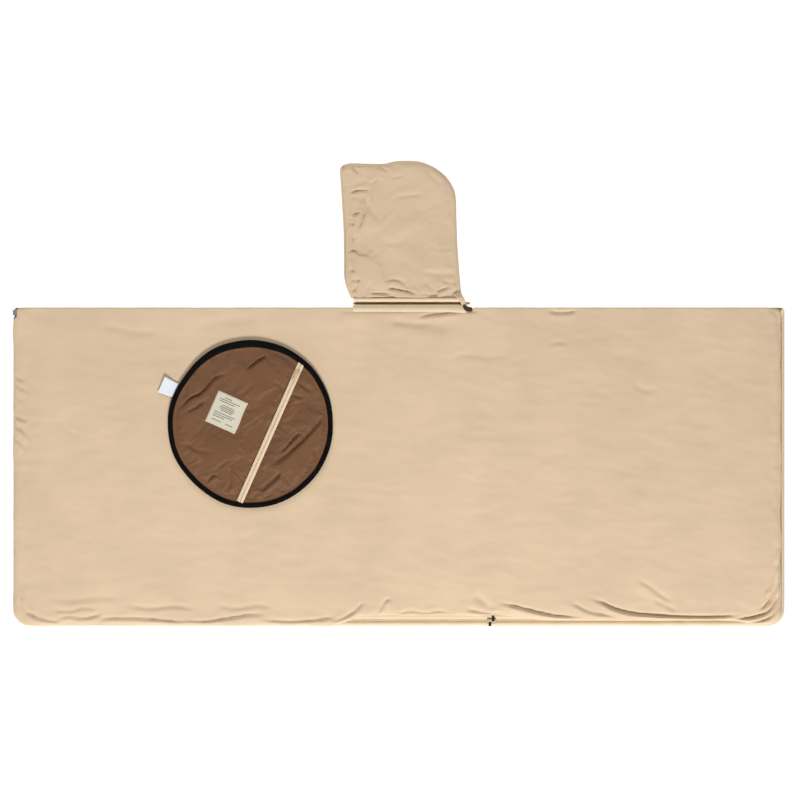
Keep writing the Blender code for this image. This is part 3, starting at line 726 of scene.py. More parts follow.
def make_front_cover():
    top = cover_points(GRID_STEP)
    rows, columns = top.shape[:2]
    inner_xs = np.linspace(TAPE_LOW.x + COVER_HEM, TAPE_HIGH.x - COVER_HEM, columns)
    inner_ys = np.linspace(TAPE_LOW.y + COVER_HEM, FOLD_Y - 1 * MM, rows)
    bottom = xyz(*np.meshgrid(inner_xs, inner_ys), COVER_FLOOR_Z)
    outer = edge_of(top)
    by_open_edge = 1 - smooth(outer[:, 1] - BODY_LOW.y, 30 * MM, 60 * MM)
    low = COVER_UNDER_Z - 1.4 * MM + 3.2 * MM * by_open_edge
    near_inlet = np.hypot(outer[:, 0] - INLET_LOW.x, outer[:, 1] - INLET_HIGH.y)
    low = np.maximum(low, (INLET_HIGH.z + 0.8 * MM) * (near_inlet < 60 * MM))
    heights = ((outer[:, 2] + low) / 2, low + 0.5 * MM, low)
    rims = walls(outer, edge_of(bottom), zip((0.0, 0.05, 0.55), heights))
    piece = padded_solid("front_cover", top, rims, bottom, ["beige_cloth"])
    put(piece, "front_panel", ["front_shell"])


def make_front_padding():
    """The wadding under the cover, kept below its folds."""
    top = cover_points(WADDING_STEP)
    low = top[..., 2].copy()
    for axis in (0, 1):
        low = np.minimum.reduce([low, np.roll(low, 1, axis), np.roll(low, -1, axis)])
    x0, x1 = SHELL_LOW.x + WADDING_INSET, SHELL_HIGH.x - WADDING_INSET
    y0, y1 = SHELL_LOW.y + WADDING_INSET, SHELL_HIGH.y - WADDING_INSET - 2 * MM
    x = x0 + (top[..., 0] - COVER_LEFT) / (COVER_RIGHT - COVER_LEFT) * (x1 - x0)
    y = y0 + (top[..., 1] - BODY_LOW.y) / (FOLD_Y - BODY_LOW.y) * (y1 - y0)
    z = np.minimum(low - 3.5 * MM, FLAT_Z - 8 * MM)
    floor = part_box("front_insulation")[0].z
    upper = xyz(x, y, np.maximum(z, floor + 0.5 * MM))
    piece = padded_solid("front_wadding", upper, [], xyz(x, y, floor), ["white_padding"])
    put(piece, "front_panel", ["front_insulation"])


# ---------------------------------------------------------------- back panel's cover

BACK_RADII = (38 * MM, 38 * MM, 5 * MM, 5 * MM)
BACK_EDGE_R = 9 * MM
BACK_WADDING_INSET = 12 * MM


def edge_sway(x, y):
    """How far the back panel's long open edge wanders outwards."""
    wave = 1.5 * MM * noise(x / 0.11, x * 0, 55) + 0.9 * MM * noise(x / 0.04, x * 0, 57)
    from_edge, from_end = y - BODY_LOW.y, BODY_HIGH.x - np.abs(x)
    return wave * (1 - smooth(from_edge, 8 * MM, 30 * MM)) * smooth(from_end, 20 * MM, 60 * MM)


def make_back_cover():
    """The underside's cloth, turned up to the zip's tape round the sides."""
    low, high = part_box("back_shell")
    xs, ys = graded(low.x, high.x, 2 * GRID_STEP), graded(low.y, high.y, 2 * GRID_STEP)
    x, y, edge = rounded_grid(xs, ys, BACK_RADII)
    y = y - edge_sway(x, y)
    creased = 0.8 * MM * np.abs(wrinkles(x, y, 0.14, 0.03, 61))
    creased += 0.5 * MM * np.abs(noise(x / 0.05, y / 0.02, 63))
    tuck = 5 * MM * (1 - rounded(edge, BACK_EDGE_R))
    bottom = xyz(x, y, 0.1 * MM + creased * smooth(edge, 0, 20 * MM) + tuck)
    inner_x = x * (high.x - 9 * MM) / high.x
    inner_y = np.interp(y, (low.y, high.y), (low.y + 9 * MM, high.y - 3 * MM))
    top_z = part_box("back_lining")[0].z - 0.6 * MM
    top = xyz(inner_x, inner_y, top_z)
    outer = edge_of(bottom)
    ripple = 0.9 * MM * noise(outer[:, 0] / 0.04, outer[:, 1] / 0.04, 67)
    tape_z = BODY_LOW.z - 0.3 * MM
    heights = (tape_z, tape_z - 2.5 * MM + ripple * 0.3, 9 * MM + ripple)
    rims = walls(outer, edge_of(top), zip((0.08, -0.02, -0.06), heights))
    piece = padded_solid("back_cover", top, rims, bottom, ["beige_cloth"])
    put(piece, "back_panel", ["back_shell"])


def make_back_padding():
    low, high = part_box("back_insulation")
    xs = np.linspace(low.x + BACK_WADDING_INSET, high.x - BACK_WADDING_INSET, 60)
    ys = np.linspace(low.y + BACK_WADDING_INSET, high.y - BACK_WADDING_INSET, 30)
    x, y = np.meshgrid(xs, ys)
    top = xyz(x, y, high.z - 0.5 * MM * np.abs(noise(x / 0.06, y / 0.06, 71)))
    piece = padded_solid("back_wadding", top, [], xyz(x, y, low.z + 1.0 * MM), ["white_padding"])
    put(piece, "back_panel", ["back_insulation"])


# ---------------------------------------------------------------- linings

QUILT_PITCH = 150 * MM
QUILT_SLOPE = 34 * MM
LINING_THICK = 0.5 * MM
LINING_RADII = (30 * MM, 30 * MM, 24 * MM, 4 * MM)
LINING_STEP = 5 * MM
HOOD_LANDING_X = 7 * MM


def quilt_height(x, y):
    """1 on the crowns of the quilting and 0 along its seams, which run both ways."""
    seam_x, seam_y = (np.abs((v / QUILT_PITCH + 0.5) % 1 - 0.5) * QUILT_PITCH for v in (x, y))
    return np.sqrt(np.clip(np.minimum(seam_x, seam_y) / QUILT_SLOPE, 0, 1))


def make_lining(side, facing):
    """A panel's brown lining, quilted in a wide lattice. Facing is 1 where the seen face looks up."""
    node = side + "_lining"
    low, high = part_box(node)
    inset = 8 * MM if side == "back" else 0.5 * MM
    xs, ys = (
        np.linspace(start + inset, end - inset, int((end - start - 2 * inset) / LINING_STEP + 0.5) + 1)
        for start, end in ((low.x, high.x), (low.y, high.y))
    )
    x, y, edge = rounded_grid(xs, ys, LINING_RADII)
    crown = quilt_height(x, y)
    pillow = crown * smooth(edge, 0, 50 * MM)
    if side == "front":  # flat where the turned-back hood lies on it
        from_hood = np.abs(x - HOOD_LANDING_X)
        pillow *= np.maximum(smooth(from_hood, 160 * MM, 210 * MM), 1 - smooth(y, 30 * MM, 90 * MM))
    soft = 0.3 * MM * noise(x / 0.05, y / 0.02, 81) + 0.6 * MM * (1 - crown) * noise(x / 0.016, y / 0.016, 83)
    relief = 2.4 * MM * pillow - 0.7 * MM * (1 - crown) + soft * smooth(edge, 0, 10 * MM)
    seen = (high.z if facing > 0 else low.z) + facing * relief
    bottom, top = (xyz(x, y, z) for z in (seen - facing * LINING_THICK, seen)[::facing])
    piece = padded_solid(node + "_cloth", top, [], bottom, ["brown_nylon"])
    put(piece, side + "_panel", [node])


# ---------------------------------------------------------------- the zip round three sides

def zip_line(inset, z, ends=(ZIP_END_Y, ZIP_END_Y)):
    """Down the left side, along the open edge and up the right, inset from the body's outline."""
    x, low, r = BODY_HIGH.x - inset, BODY_LOW.y + inset, CORNER_R - inset
    turn = np.radians(np.linspace(180, 270, 13))
    corner_x, corner_y = x - r - r * np.cos(turn), low + r + r * np.sin(turn)
    left, right = (np.linspace(end, low + r + 4 * MM, 60) for end in ends)
    bottom = np.linspace(-x + r + 4 * MM, x - r - 4 * MM, 260)
    return np.vstack([
        xyz(-x, left, z), xyz(-corner_x, corner_y, z), xyz(bottom, low, z),
        xyz(corner_x, corner_y, z)[::-1], xyz(x, right, z)[::-1],
    ])


def zip_tape(side, insets, heights, seed, ends=(ZIP_END_Y, ZIP_END_Y)):
    """One half's woven tape, slightly rippled between its two edges."""
    lines = []
    for share, z in ((0, 0), (0.5, 0), (1, 0), (1, 1), (0.5, 1), (0, 1)):
        inset = insets[0] + (insets[1] - insets[0]) * share
        line = zip_line(inset, heights[0] + (heights[1] - heights[0]) * z, ends)
        ripple = noise(line[:, 0] / 0.05, line[:, 1] / 0.05, seed)
        line[:, 2] += 0.18 * MM * ripple * (share == 0.5)
        line[:, 1] -= edge_sway(line[:, 0], line[:, 1]) * (1 - share) * (side == "back")
        lines.append(line)
    piece = bar_object(f"zip_tape_{side}_woven", lines, ["cream_tape"])
    put(piece, side + "_panel", ["zip_tape_" + side])


TOOTH_PITCH = 2.4 * MM
SMALL_PITCH = 2.2 * MM  # on the neck's zip and the pouch's


def zip_teeth(side, mid_inset, z, shifted):
    """One half's row of teeth, which reach across the middle between the other half's."""
    places, tangents, normals = resampled(zip_line(mid_inset, z), TOOTH_PITCH)
    places = places + tangents * (TOOTH_PITCH / 2 if shifted else 0.0)
    tooth = capsule(4.6 * MM, 1.35 * MM, 1.9 * MM, rings=TOOTH_RINGS)
    piece = copies("zip_teeth_" + side, tooth, places, normals, tangents, "cream_coil")
    put(piece, side + "_panel", ["zip_coil_" + side])


def make_body_zip():
    back_coil_low, back_coil_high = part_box("zip_coil_back")
    front_coil_low, front_coil_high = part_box("zip_coil_front")
    front_edge = TAPE_LOW.y - BODY_LOW.y
    back_ends = (INLET_LOW.y - 5 * MM, FOLD_Y - 3 * MM)
    zip_tape("back", (0.4 * MM, 14 * MM), (BODY_LOW.z, BODY_HIGH.z), 91, back_ends)
    zip_tape("front", (front_edge, front_edge + 24 * MM), (TAPE_LOW.z, TAPE_HIGH.z), 93)
    back_inset, front_inset = (low.y - BODY_LOW.y for low in (back_coil_low, front_coil_low))
    zip_teeth("back", back_inset + 2.2 * MM, (back_coil_low.z + back_coil_high.z) / 2 + 0.5 * MM, False)
    zip_teeth("front", front_inset + 0.9 * MM, (front_coil_low.z + front_coil_high.z) / 2, True)
    for inset, z, body in ((6 * MM, BODY_HIGH.z, "back_panel"), (30 * MM, TAPE_HIGH.z, "front_panel")):
        put(stitches(f"zip_stitches_{body}", zip_line(inset, z + 0.1 * MM)), body)


# ---------------------------------------------------------------- the fold

def make_fold_wall(side):
    """The cloth that joins the two panels along the fold, on one side of the neck."""
    node = "fold_gusset_" + side
    low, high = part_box(node)
    xs = np.linspace(low.x + (side == "right") * 20 * MM, high.x, 260)
    last_row = cover_points(GRID_STEP)[-1]
    top_z = np.maximum(np.interp(xs, last_row[:, 0], last_row[:, 2]) - 0.3 * MM, COVER_NOSE_Z - 0.5 * MM)
    foot_z = low.z + 0.3 * MM
    end = smooth(BODY_HIGH.x - np.abs(xs), 0, 14 * MM)
    top_z = foot_z + (top_z - foot_z) * (0.55 + 0.45 * end)
    rows = []
    for turn in np.radians(np.linspace(-90, 90, 15)):
        puckers = 0.5 * MM * noise(xs / 0.05, turn, 97) + 0.3 * MM * noise(xs / 0.016, turn, 98)
        y = low.y + 0.2 * MM + (0.8 * MM + puckers) * math.cos(turn) ** 0.8 * (0.2 + 0.8 * end)
        rows.append(xyz(xs, y, (top_z + foot_z) / 2 + (top_z - foot_z) / 2 * math.sin(turn)))
    outside = np.array(rows)
    inside = outside.copy()
    inside[..., 1] = low.y
    piece = padded_solid(f"fold_wall_{side}", inside, [], outside, ["beige_cloth"])
    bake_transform(piece)
    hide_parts(node)


# ---------------------------------------------------------------- neck bands and their zip

def neck_band(name, node, body, section, seed, droop=0.0):
    """A folded strip of pale cloth along the neck's zip. The section is (y, z) pairs in millimetres."""
    low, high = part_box(node)
    xs = np.linspace(low.x, high.x, 140)
    sag = droop * smooth(xs, high.x - 60 * MM, high.x)
    top_z = max(z for _, z in section) * MM
    lines = []
    for y, z in section:
        soft = 0.25 * MM * (noise(xs / 0.014, y * 0.15, seed) + noise(xs / 0.05, z * 0.1, seed))
        above = smooth(z * MM, high.z, top_z)
        lines.append(xyz(xs, y * MM + (0.5 * soft + sag) * above, z * MM + soft * above))
    put(bar_object(name, lines, ["seam_cloth"]), body, [node])


def seam_row(name, y, z, body):
    """Stitches along a neck band."""
    path = xyz(np.linspace(COLLAR_LOW.x + 3 * MM, COLLAR_HIGH.x - 8 * MM, 40), y, z)
    put(stitches(name, path, pitch=3.2 * MM), body)


def neck_ring_path(node, margin, y):
    """Once round the neck opening, in the plane of a half of its zip."""
    low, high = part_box(node)
    r = min(3 * MM, (high.z - low.z) / 2 - margin)
    left, right, foot, top = low.x + margin + r, high.x - margin - r, low.z + margin + r, high.z - margin - r
    path = []
    for quarter, (x, z) in enumerate(((right, top), (left, top), (left, foot), (right, foot))):
        turn = np.radians(90 * quarter + np.linspace(0, 90, 5))
        path.append(xyz(x + r * np.cos(turn), y, z + r * np.sin(turn)))
    return np.vstack([*path, path[0][:1]])


def make_neck_tape(name, node, body):
    """The narrow tape under one half's teeth."""
    low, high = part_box(node)
    section = ((low.y, 3.6), (high.y, 3.6), (high.y, 4.0), (low.y, 4.0))
    lines = [neck_ring_path(node, inset * MM, y)[:-1] for y, inset in section]
    put(ring_object(name, lines, ["seam_cloth"]), body)


def make_neck_teeth(name, node, body, toward, shifted):
    """Teeth round the neck opening, reaching towards the other half."""
    low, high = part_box(node)
    path = neck_ring_path(node, 1.1 * MM, (low.y + high.y) / 2 + toward * 1.7 * MM)
    start = SMALL_PITCH * (0.75 if shifted else 0.25)
    places = points_at(path, np.arange(start, path_run(path)[-1], SMALL_PITCH))
    tooth = capsule(2.2 * MM, 1.5 * MM, 2.0 * MM, rings=TOOTH_RINGS)
    # The brown_coil look is partly painted shade for the gap between the bands.
    piece = copies(name, tooth, places, (0.0, 1.0, 0.0), directions(places), "brown_coil")
    put(piece, body, [node])


# The bands' sections, as (y, z) in millimetres
COLLAR_UPPER = (
    (372.0, 19.6), (378.6, 19.6), (379.2, 22.0), (378.8, 25.5), (377.0, 28.0), (373.5, 30.8), (370.0, 32.6),
    (366.5, 33.3), (363.4, 33.0), (362.2, 32.2), (363.4, 31.5), (366.5, 31.4), (370.0, 30.7), (371.6, 28.9),
)
HEM_UPPER = (
    (386.0, 19.6), (394.0, 19.6), (394.8, 23.0), (394.2, 25.8), (392.0, 27.2), (388.6, 27.2), (386.4, 25.6),
    (385.8, 22.0),
)
COLLAR_LOWER = ((371.8, 8.2), (378.6, 8.2), (379.0, 10.5), (378.6, 12.8), (371.8, 12.8), (371.5, 10.5))
HEM_LOWER = ((386.0, 7.0), (394.0, 6.4), (394.8, 10.5), (394.2, 12.8), (386.2, 12.8), (385.8, 10.5))


# Left x, left y, right x and right y at its root, middle and tip, in millimetres
HOOD_FLAP = ((124, 137, 148), (404, 391, 376), (145, 152, 159), (406, 392, 375))


def make_hood_flap():
    """The hood's corner, which hangs over the end of the neck bands."""
    t, s = np.meshgrid(np.linspace(0, 1, 26), np.linspace(0, 1, 14), indexing="ij")
    left_x, left_y, right_x, right_y = (np.interp(t, (0, 0.5, 1), at) for at in HOOD_FLAP)
    x, y = (left_x * (1 - s) + right_x * s) * MM, (left_y * (1 - s) + right_y * s) * MM
    crown = np.sqrt(np.abs(np.sin(math.pi * s)))
    floor = (21.5 + 5.4 * smooth(t, 0.0, 0.4)) * MM
    puffed = 0.4 + 2.6 * crown * (1 - 0.4 * t) + 1.2 * np.sin(math.pi * t)
    puffed += 0.4 * noise(x / 0.009, y / 0.02, 107)
    top = xyz(x, y, floor + np.maximum(puffed, 0.4) * MM)
    flap = padded_solid("hood_corner_flap", top[::-1], [], xyz(x, y, floor)[::-1], ["hood_cloth"])
    put(flap, "hood_band")


# From the neck's slider over the end of the collar to the cover, in millimetres
NECK_TAB_PATH = (
    (150, 382.5, 25.2), (151, 378.5, 29.4), (153, 373.5, 33.2),
    (158, 369.5, 34.7), (164, 368, 34.7), (171, 367, 34.3),
)


def make_neck_tab():
    """The neck slider's dark tab, which lies over the collar."""
    path = curve_through(NECK_TAB_PATH, 5)
    share = np.linspace(0, 1, len(path))
    along = directions(path[:, :2])
    half = 5.6 * (0.4 + 0.6 * smooth(share, 0.15, 0.6)) * np.sqrt(np.clip(1 - (2 * share - 1) ** 8, 0.05, 1))
    lines = []
    for turn in np.radians(np.arange(0, 360, 30)):
        out = half * math.cos(turn)
        x, y = path[:, 0] - along[:, 1] * out, path[:, 1] + along[:, 0] * out
        lines.append(xyz(x, y, path[:, 2] + 0.8 * math.sin(turn)) * MM)
    tab = bar_object("neck_slider_tab", lines, ["dark_leather"])
    put(tab, "neck_slider")


def make_neck():
    neck_band("collar_band_upper", "neck_collar_upper", "back_panel", COLLAR_UPPER, 101, -2.5 * MM)
    neck_band("hem_band_upper", "hood_hem_upper", "hood_band", HEM_UPPER, 103)
    neck_band("collar_band_lower", "neck_collar_lower", "back_panel", COLLAR_LOWER, 105)
    neck_band("hem_band_lower", "hood_hem_lower", "hood_band", HEM_LOWER, 106)
    seam_row("collar_stitches", 375.0 * MM, 29.9 * MM, "back_panel")
    seam_row("hem_stitches", 392.4 * MM, 27.3 * MM, "hood_band")
    make_neck_teeth("neck_teeth_collar", "neck_zip_collar_half", "back_panel", 1, False)
    make_neck_teeth("neck_teeth_hood", "neck_zip_hood_half", "hood_band", -1, True)
    make_neck_tape("neck_zip_tape_collar", "neck_zip_collar_half", "back_panel")
    make_neck_tape("neck_zip_tape_hood", "neck_zip_hood_half", "hood_band")
    make_hood_flap()
    make_neck_tab()


# ---------------------------------------------------------------- cloth simulation

TIGHT_LEVELS = 20


def relaxed(grid, held, slack, looseness, frames=14, reach=3 * MM, bending=0.3):
    """A grid of points after it has been simulated as cloth, held at the marked points.

    Slack is the spare length where looseness is 1. No point ends further than reach from where it started.
    """
    rows, columns = grid.shape[:2]
    piece = make_object("being_simulated", grid.reshape(-1, 3), grid_faces(rows, columns), [])
    group = piece.vertex_groups.new(name="held")
    group.add([int(i) for i in np.nonzero(held.ravel())[0]], 1.0, "REPLACE")
    tight = piece.vertex_groups.new(name="tight")
    levels = np.round(np.clip(1 - looseness, 0, 1).ravel() * TIGHT_LEVELS).astype(int)
    for level in range(TIGHT_LEVELS + 1):
        tight.add([int(i) for i in np.nonzero(levels == level)[0]], level / TIGHT_LEVELS, "REPLACE")
    cloth = piece.modifiers.new("cloth", "CLOTH")
    settings = cloth.settings
    settings.quality = 5
    settings.mass = 0.2
    settings.tension_stiffness = settings.compression_stiffness = 30
    settings.shear_stiffness = 15
    settings.bending_stiffness = bending
    settings.vertex_group_mass = group.name
    settings.vertex_group_shrink = tight.name
    settings.shrink_min = -slack
    settings.shrink_max = 0.0
    settings.effector_weights.gravity = 0
    cloth.collision_settings.use_collision = False
    cloth.point_cache.frame_end = frames
    for number in range(1, frames + 1):
        bpy.context.scene.frame_set(number)
    result = piece.evaluated_get(bpy.context.evaluated_depsgraph_get()).data
    move = coordinates(result) - grid.reshape(-1, 3)
    size = np.linalg.norm(move, axis=1)
    move *= (reach * np.tanh(size / reach) / np.maximum(size, 1e-9))[:, None]
    bpy.context.scene.frame_set(1)
    bpy.data.objects.remove(piece)
    return grid + move.reshape(grid.shape)


def coordinates(mesh):
    found = np.zeros(len(mesh.vertices) * 3)
    mesh.vertices.foreach_get("co", found)
    return found.reshape(-1, 3)


def patch(bottom, top, left, right, step):
    """A grid of (x, y) over four smooth sides. Bottom and top run to the right, left and right run up."""
    sides = [curve_through(np.array(side) * MM, 12) for side in (bottom, top, left, right)]
    columns = int(np.ptp(sides[0][:, 0]) / step)
    rows = int(np.ptp(sides[2][:, 1]) / step)
    low, high, first, last = (
        points_at(side, np.linspace(0, path_run(side)[-1], count))
        for side, count in zip(sides, (columns, columns, rows, rows))
    )
    s = np.linspace(0, 1, columns)[None, :, None]
    t = np.linspace(0, 1, rows)[:, None, None]
    ruled = low[None] * (1 - t) + high[None] * t + first[:, None] * (1 - s) + last[:, None] * s
    corners = (low[0] * (1 - s) + low[-1] * s) * (1 - t) + (high[0] * (1 - s) + high[-1] * s) * t
    return ruled - corners


def distance_to(line, x, y):
    """Each point's distance to a polyline."""
    best = np.full(x.shape, 1e9)
    for (ax, ay), (bx, by) in zip(line[:-1], line[1:]):
        dx, dy = bx - ax, by - ay
        t = np.clip(((x - ax) * dx + (y - ay) * dy) / max(dx * dx + dy * dy, 1e-12), 0, 1)
        best = np.minimum(best, np.hypot(x - ax - t * dx, y - ay - t * dy))
    return best


# ---------------------------------------------------------------- hood

HOOD_MID_Z = (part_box("hood_seam")[0].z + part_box("hood_seam")[1].z) / 2
HOOD_LIMIT = 10.8 * MM
HOOD_UPPER_SEED = 111
HOOD_NECK = [(-112, 395), (-60, 394.5), (20, 394.5), (90, 395), (144, 395)]
HOOD_CROWN = [
    (-130, 701), (-124, 706), (-110, 708), (-70, 707), (-35, 707), (-6, 713), (39, 713), (68, 705), (98, 687),
]
HOOD_FACE = [
    (-112, 395), (-123, 425), (-124, 479), (-125, 553), (-128, 609), (-131, 664), (-133, 692), (-130, 701),
]
HOOD_BACK = [(144, 395), (142, 423), (139, 460), (135, 516), (133, 572), (131, 631), (120, 661), (98, 687)]
HOOD_SEAM = np.array(HOOD_CROWN + HOOD_BACK[-2::-1]) * MM
HOOD_NECK_Y = 395 * MM
HOOD_SEAM_R = 20 * MM
HOOD_FACE_R = 7 * MM
CASING_WIDTH = 19 * MM
LINING_SETBACK = 22 * MM

# Each: points in millimetres, depth, width and swell, and 1 where it swells on its left
HOOD_FOLDS = (
    ([(-112, 703), (-102, 694), (-93, 684)], 2.6, 3.2, 1.2, 1),
    ([(-68, 658), (-56, 667), (-46, 672)], 2.0, 3.6, 1.0, 1),
    ([(-114, 641), (-92, 646), (-68, 647)], 2.6, 3.4, 1.4, 1),
    ([(-121, 631), (-107, 629), (-92, 627)], 1.8, 3.0, 1.0, 1),
    ([(-72, 628), (-79, 602), (-86, 578), (-94, 550)], 4.2, 3.6, 2.6),
    ([(-121, 596), (-106, 590), (-92, 592)], 2.4, 3.0, 1.4),
    ([(-120, 568), (-106, 566), (-96, 560)], 2.4, 3.0, 1.4),
    ([(-120, 500), (-108, 505), (-96, 503)], 2.4, 3.0, 1.4),
    ([(-118, 462), (-104, 458), (-92, 462)], 2.2, 3.0, 1.4),
    ([(-117, 432), (-102, 436), (-86, 432)], 2.2, 3.2, 1.4),
    ([(-113, 530), (-104, 535), (-92, 539)], 1.8, 3.2, 0.8, 1),
    ([(-105, 502), (-108, 474), (-111, 444)], 2.0, 4.0, 1.0, 1),
    ([(-128, 676), (-123, 636), (-121, 592), (-120, 546)], 3.2, 2.2, 1.0),
    ([(-121, 544), (-119, 504), (-117, 464), (-113, 430)], 3.2, 2.2, 1.0),
    ([(-46, 704), (-36, 696), (-25, 689)], 2.0, 3.2, 1.0, 1),
    ([(-20, 673), (-6, 677), (12, 680)], 1.8, 3.6, 1.0, 1),
    ([(-9, 629), (22, 634), (56, 636)], 1.6, 5.0, 1.0, 1),
    ([(-36, 416), (-4, 413), (22, 408), (48, 399)], 4.5, 3.4, 3.0),
    ([(-70, 404), (-40, 402), (-12, 404)], 2.6, 3.4, 1.6),
    ([(46, 404), (72, 401), (98, 402)], 3.2, 3.2, 2.2),
    ([(84, 408), (103, 415), (124, 424)], 3.2, 3.2, 2.2),
    ([(-40, 432), (-10, 436), (20, 430)], 1.8, 5, 1.2),
    ([(100, 436), (118, 430), (136, 432)], 1.8, 4, 1.2),
    ([(52, 455), (92, 451), (134, 453)], 1.2, 6.0, 0.8, 1),
    ([(-65, 694), (-67, 640), (-69, 590)], 1.4, 4.0, 0.8, 1),
    ([(-116, 405), (-100, 420), (-92, 446)], 2.2, 4.0, 1.4),
    ([(131, 404), (139, 424), (134, 450)], 1.8, 5.0, 0.8, 1),
    ([(60, 700), (78, 676), (104, 655)], 1.2, 7.0, 0.8, 1),
    ([(-66, 588), (-72, 540), (-64, 496)], 1.0, 7.0, 0.8, 1),
)


def hood_heights(x, y, seed):
    """(outer height, lining's height, distance to the edges) above the plane of the hood's seam."""
    to_seam = distance_to(curve_through(HOOD_SEAM, 4), x, y)
    to_face = distance_to(curve_through(np.array(HOOD_FACE) * MM, 4), x, y)
    to_neck = y - HOOD_NECK_Y
    rise, rolled = rounded(to_seam, HOOD_SEAM_R), rounded(to_face, HOOD_FACE_R)
    level = 8.2 * MM + 0.4 * MM * smooth(to_neck, 12 * MM, 70 * MM)
    outer = level * (0.05 + 0.95 * rise) * (0.62 + 0.38 * rolled)
    inside = smooth(np.minimum(to_seam, to_face), 0, 10 * MM)
    relief = 1.0 * MM * noise(x / 0.09, y / 0.11, seed) + 0.5 * MM * noise(x / 0.045, y / 0.05, seed + 1)
    relief += 0.35 * MM * wrinkles(x, y, 0.04, 0.014, seed + 2, 0.9)
    relief += 0.2 * MM * wrinkles(x, y, 0.02, 0.009, seed + 3)
    relief += folds(x, y, HOOD_FOLDS) * (seed == HOOD_UPPER_SEED)
    casing = 1 - smooth(to_face, CASING_WIDTH - 5 * MM, CASING_WIDTH + 3 * MM)
    relief += casing * 0.8 * MM * noise(x / 0.03, y / 0.011, seed + 5)
    relief -= 1.6 * MM * hump(to_face - CASING_WIDTH, 2 * MM)
    relief = np.minimum(relief, 1.2 * MM + 1.2 * MM * smooth(to_neck, 15 * MM, 50 * MM))
    outer = outer + relief * inside * smooth(to_neck, -2 * MM, 12 * MM)
    inner = 2.2 * MM * (0.06 + 0.94 * rise)
    return np.maximum(outer, inner + 0.5 * MM), inner, np.minimum(to_seam, to_face)


def hood_layer(side, sign, seed):
    """One half of the hood, outside cloth and lining. Sign is 1 for the upper half."""
    step = 3.2 * MM
    flat = patch(HOOD_NECK, HOOD_CROWN, HOOD_FACE, HOOD_BACK, step)
    x, y = flat[..., 0], flat[..., 1]
    if side == "lower":
        x = x - 5 * MM * (1 - smooth(x, -134 * MM, -90 * MM)) * smooth(y, 410 * MM, 450 * MM)
    outer, inner, edge = hood_heights(x, y, seed)
    to_neck = y - HOOD_NECK_Y

    def layer(height):
        return xyz(x, y, HOOD_MID_Z + sign * height)

    loose = 0.12 + 0.88 * (1 - smooth(x, -105 * MM, -45 * MM)) + 0.5 * (1 - smooth(y, 405 * MM, 445 * MM))
    soft = relaxed(layer(outer), edge < 3.5 * MM, 0.07, loose)
    if side == "upper":
        soft[..., 2] += 0.7 * folds(x, y, HOOD_FOLDS) * smooth(edge, 0, 10 * MM) * smooth(to_neck, 0, 10 * MM)
    elastic_low, elastic_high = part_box("hood_elastic")
    to_elastic = np.maximum(elastic_low.x - x, x - elastic_high.x)
    over_elastic = (1 - smooth(to_elastic, 3 * MM, 9 * MM)) * smooth(edge, 0, 6 * MM)
    lowest = np.maximum(inner + 0.8 * MM, over_elastic * (elastic_high.z - HOOD_MID_Z + 1.0 * MM))
    highest = HOOD_LIMIT - 1.4 * MM * (1 - smooth(to_neck, 7 * MM, 55 * MM))
    soft[..., 2] = HOOD_MID_Z + sign * np.clip(sign * (soft[..., 2] - HOOD_MID_Z), lowest, highest)
    shell = [soft, layer(inner + 0.4 * MM)]
    lining = [layer(inner + 0.3 * MM), layer(np.maximum(inner - 0.3 * MM, 0.1 * MM))]
    for surface in lining:
        surface[..., 0] += LINING_SETBACK * (1 - smooth(x, -134 * MM, -70 * MM))
    upper, lower = shell[::int(sign)]
    # The hood_cloth look is a darker copy of the body's beige, painted shade for the top.
    cloth = padded_solid(f"hood_{side}_cloth", upper, [], lower, ["hood_cloth"])
    put(cloth, "hood", [f"hood_panel_{side}", f"hood_facing_{side}", f"hood_padding_{side}"])
    upper, lower = lining[::int(sign)]
    inside = padded_solid(f"hood_{side}_lining", upper, [], lower, ["brown_nylon"])
    put(inside, "hood", [f"hood_lining_{side}"])


def make_hood():
    hood_layer("upper", 1, HOOD_UPPER_SEED)
    hood_layer("lower", -1, 131)
    places, _, normals = resampled(xyz(*curve_through(HOOD_SEAM, 6).T, HOOD_MID_Z), 4 * MM)
    lines = [
        places + out * MM * normals + (0, 0, up * MM)
        for out, up in ((-1.5, -0.9), (1.3, -0.7), (1.3, 0.7), (-1.5, 0.9))
    ]
    put(bar_object("hood_seam_edge", lines, ["hood_cloth"]), "hood", ["hood_seam"])


# ---------------------------------------------------------------- storage pouch

POUCH_BASE_Z = BINDING_LOW.z
POUCH_ZIP_X = 51 * MM
POUCH_ZIP_END_Y = 176 * MM
PANEL_Z = 6.2 * MM
PANEL_SWELL = 2.0 * MM
PANEL_R = POUCH_R - 6 * MM
BACKING_R = POUCH_R - 5 * MM
ZIP_GAP = 6.5 * MM
POUCH_RIGHT = np.array([math.cos(POUCH_TURN), math.sin(POUCH_TURN), 0.0])
POUCH_AWAY = np.array([-math.sin(POUCH_TURN), math.cos(POUCH_TURN), 0.0])

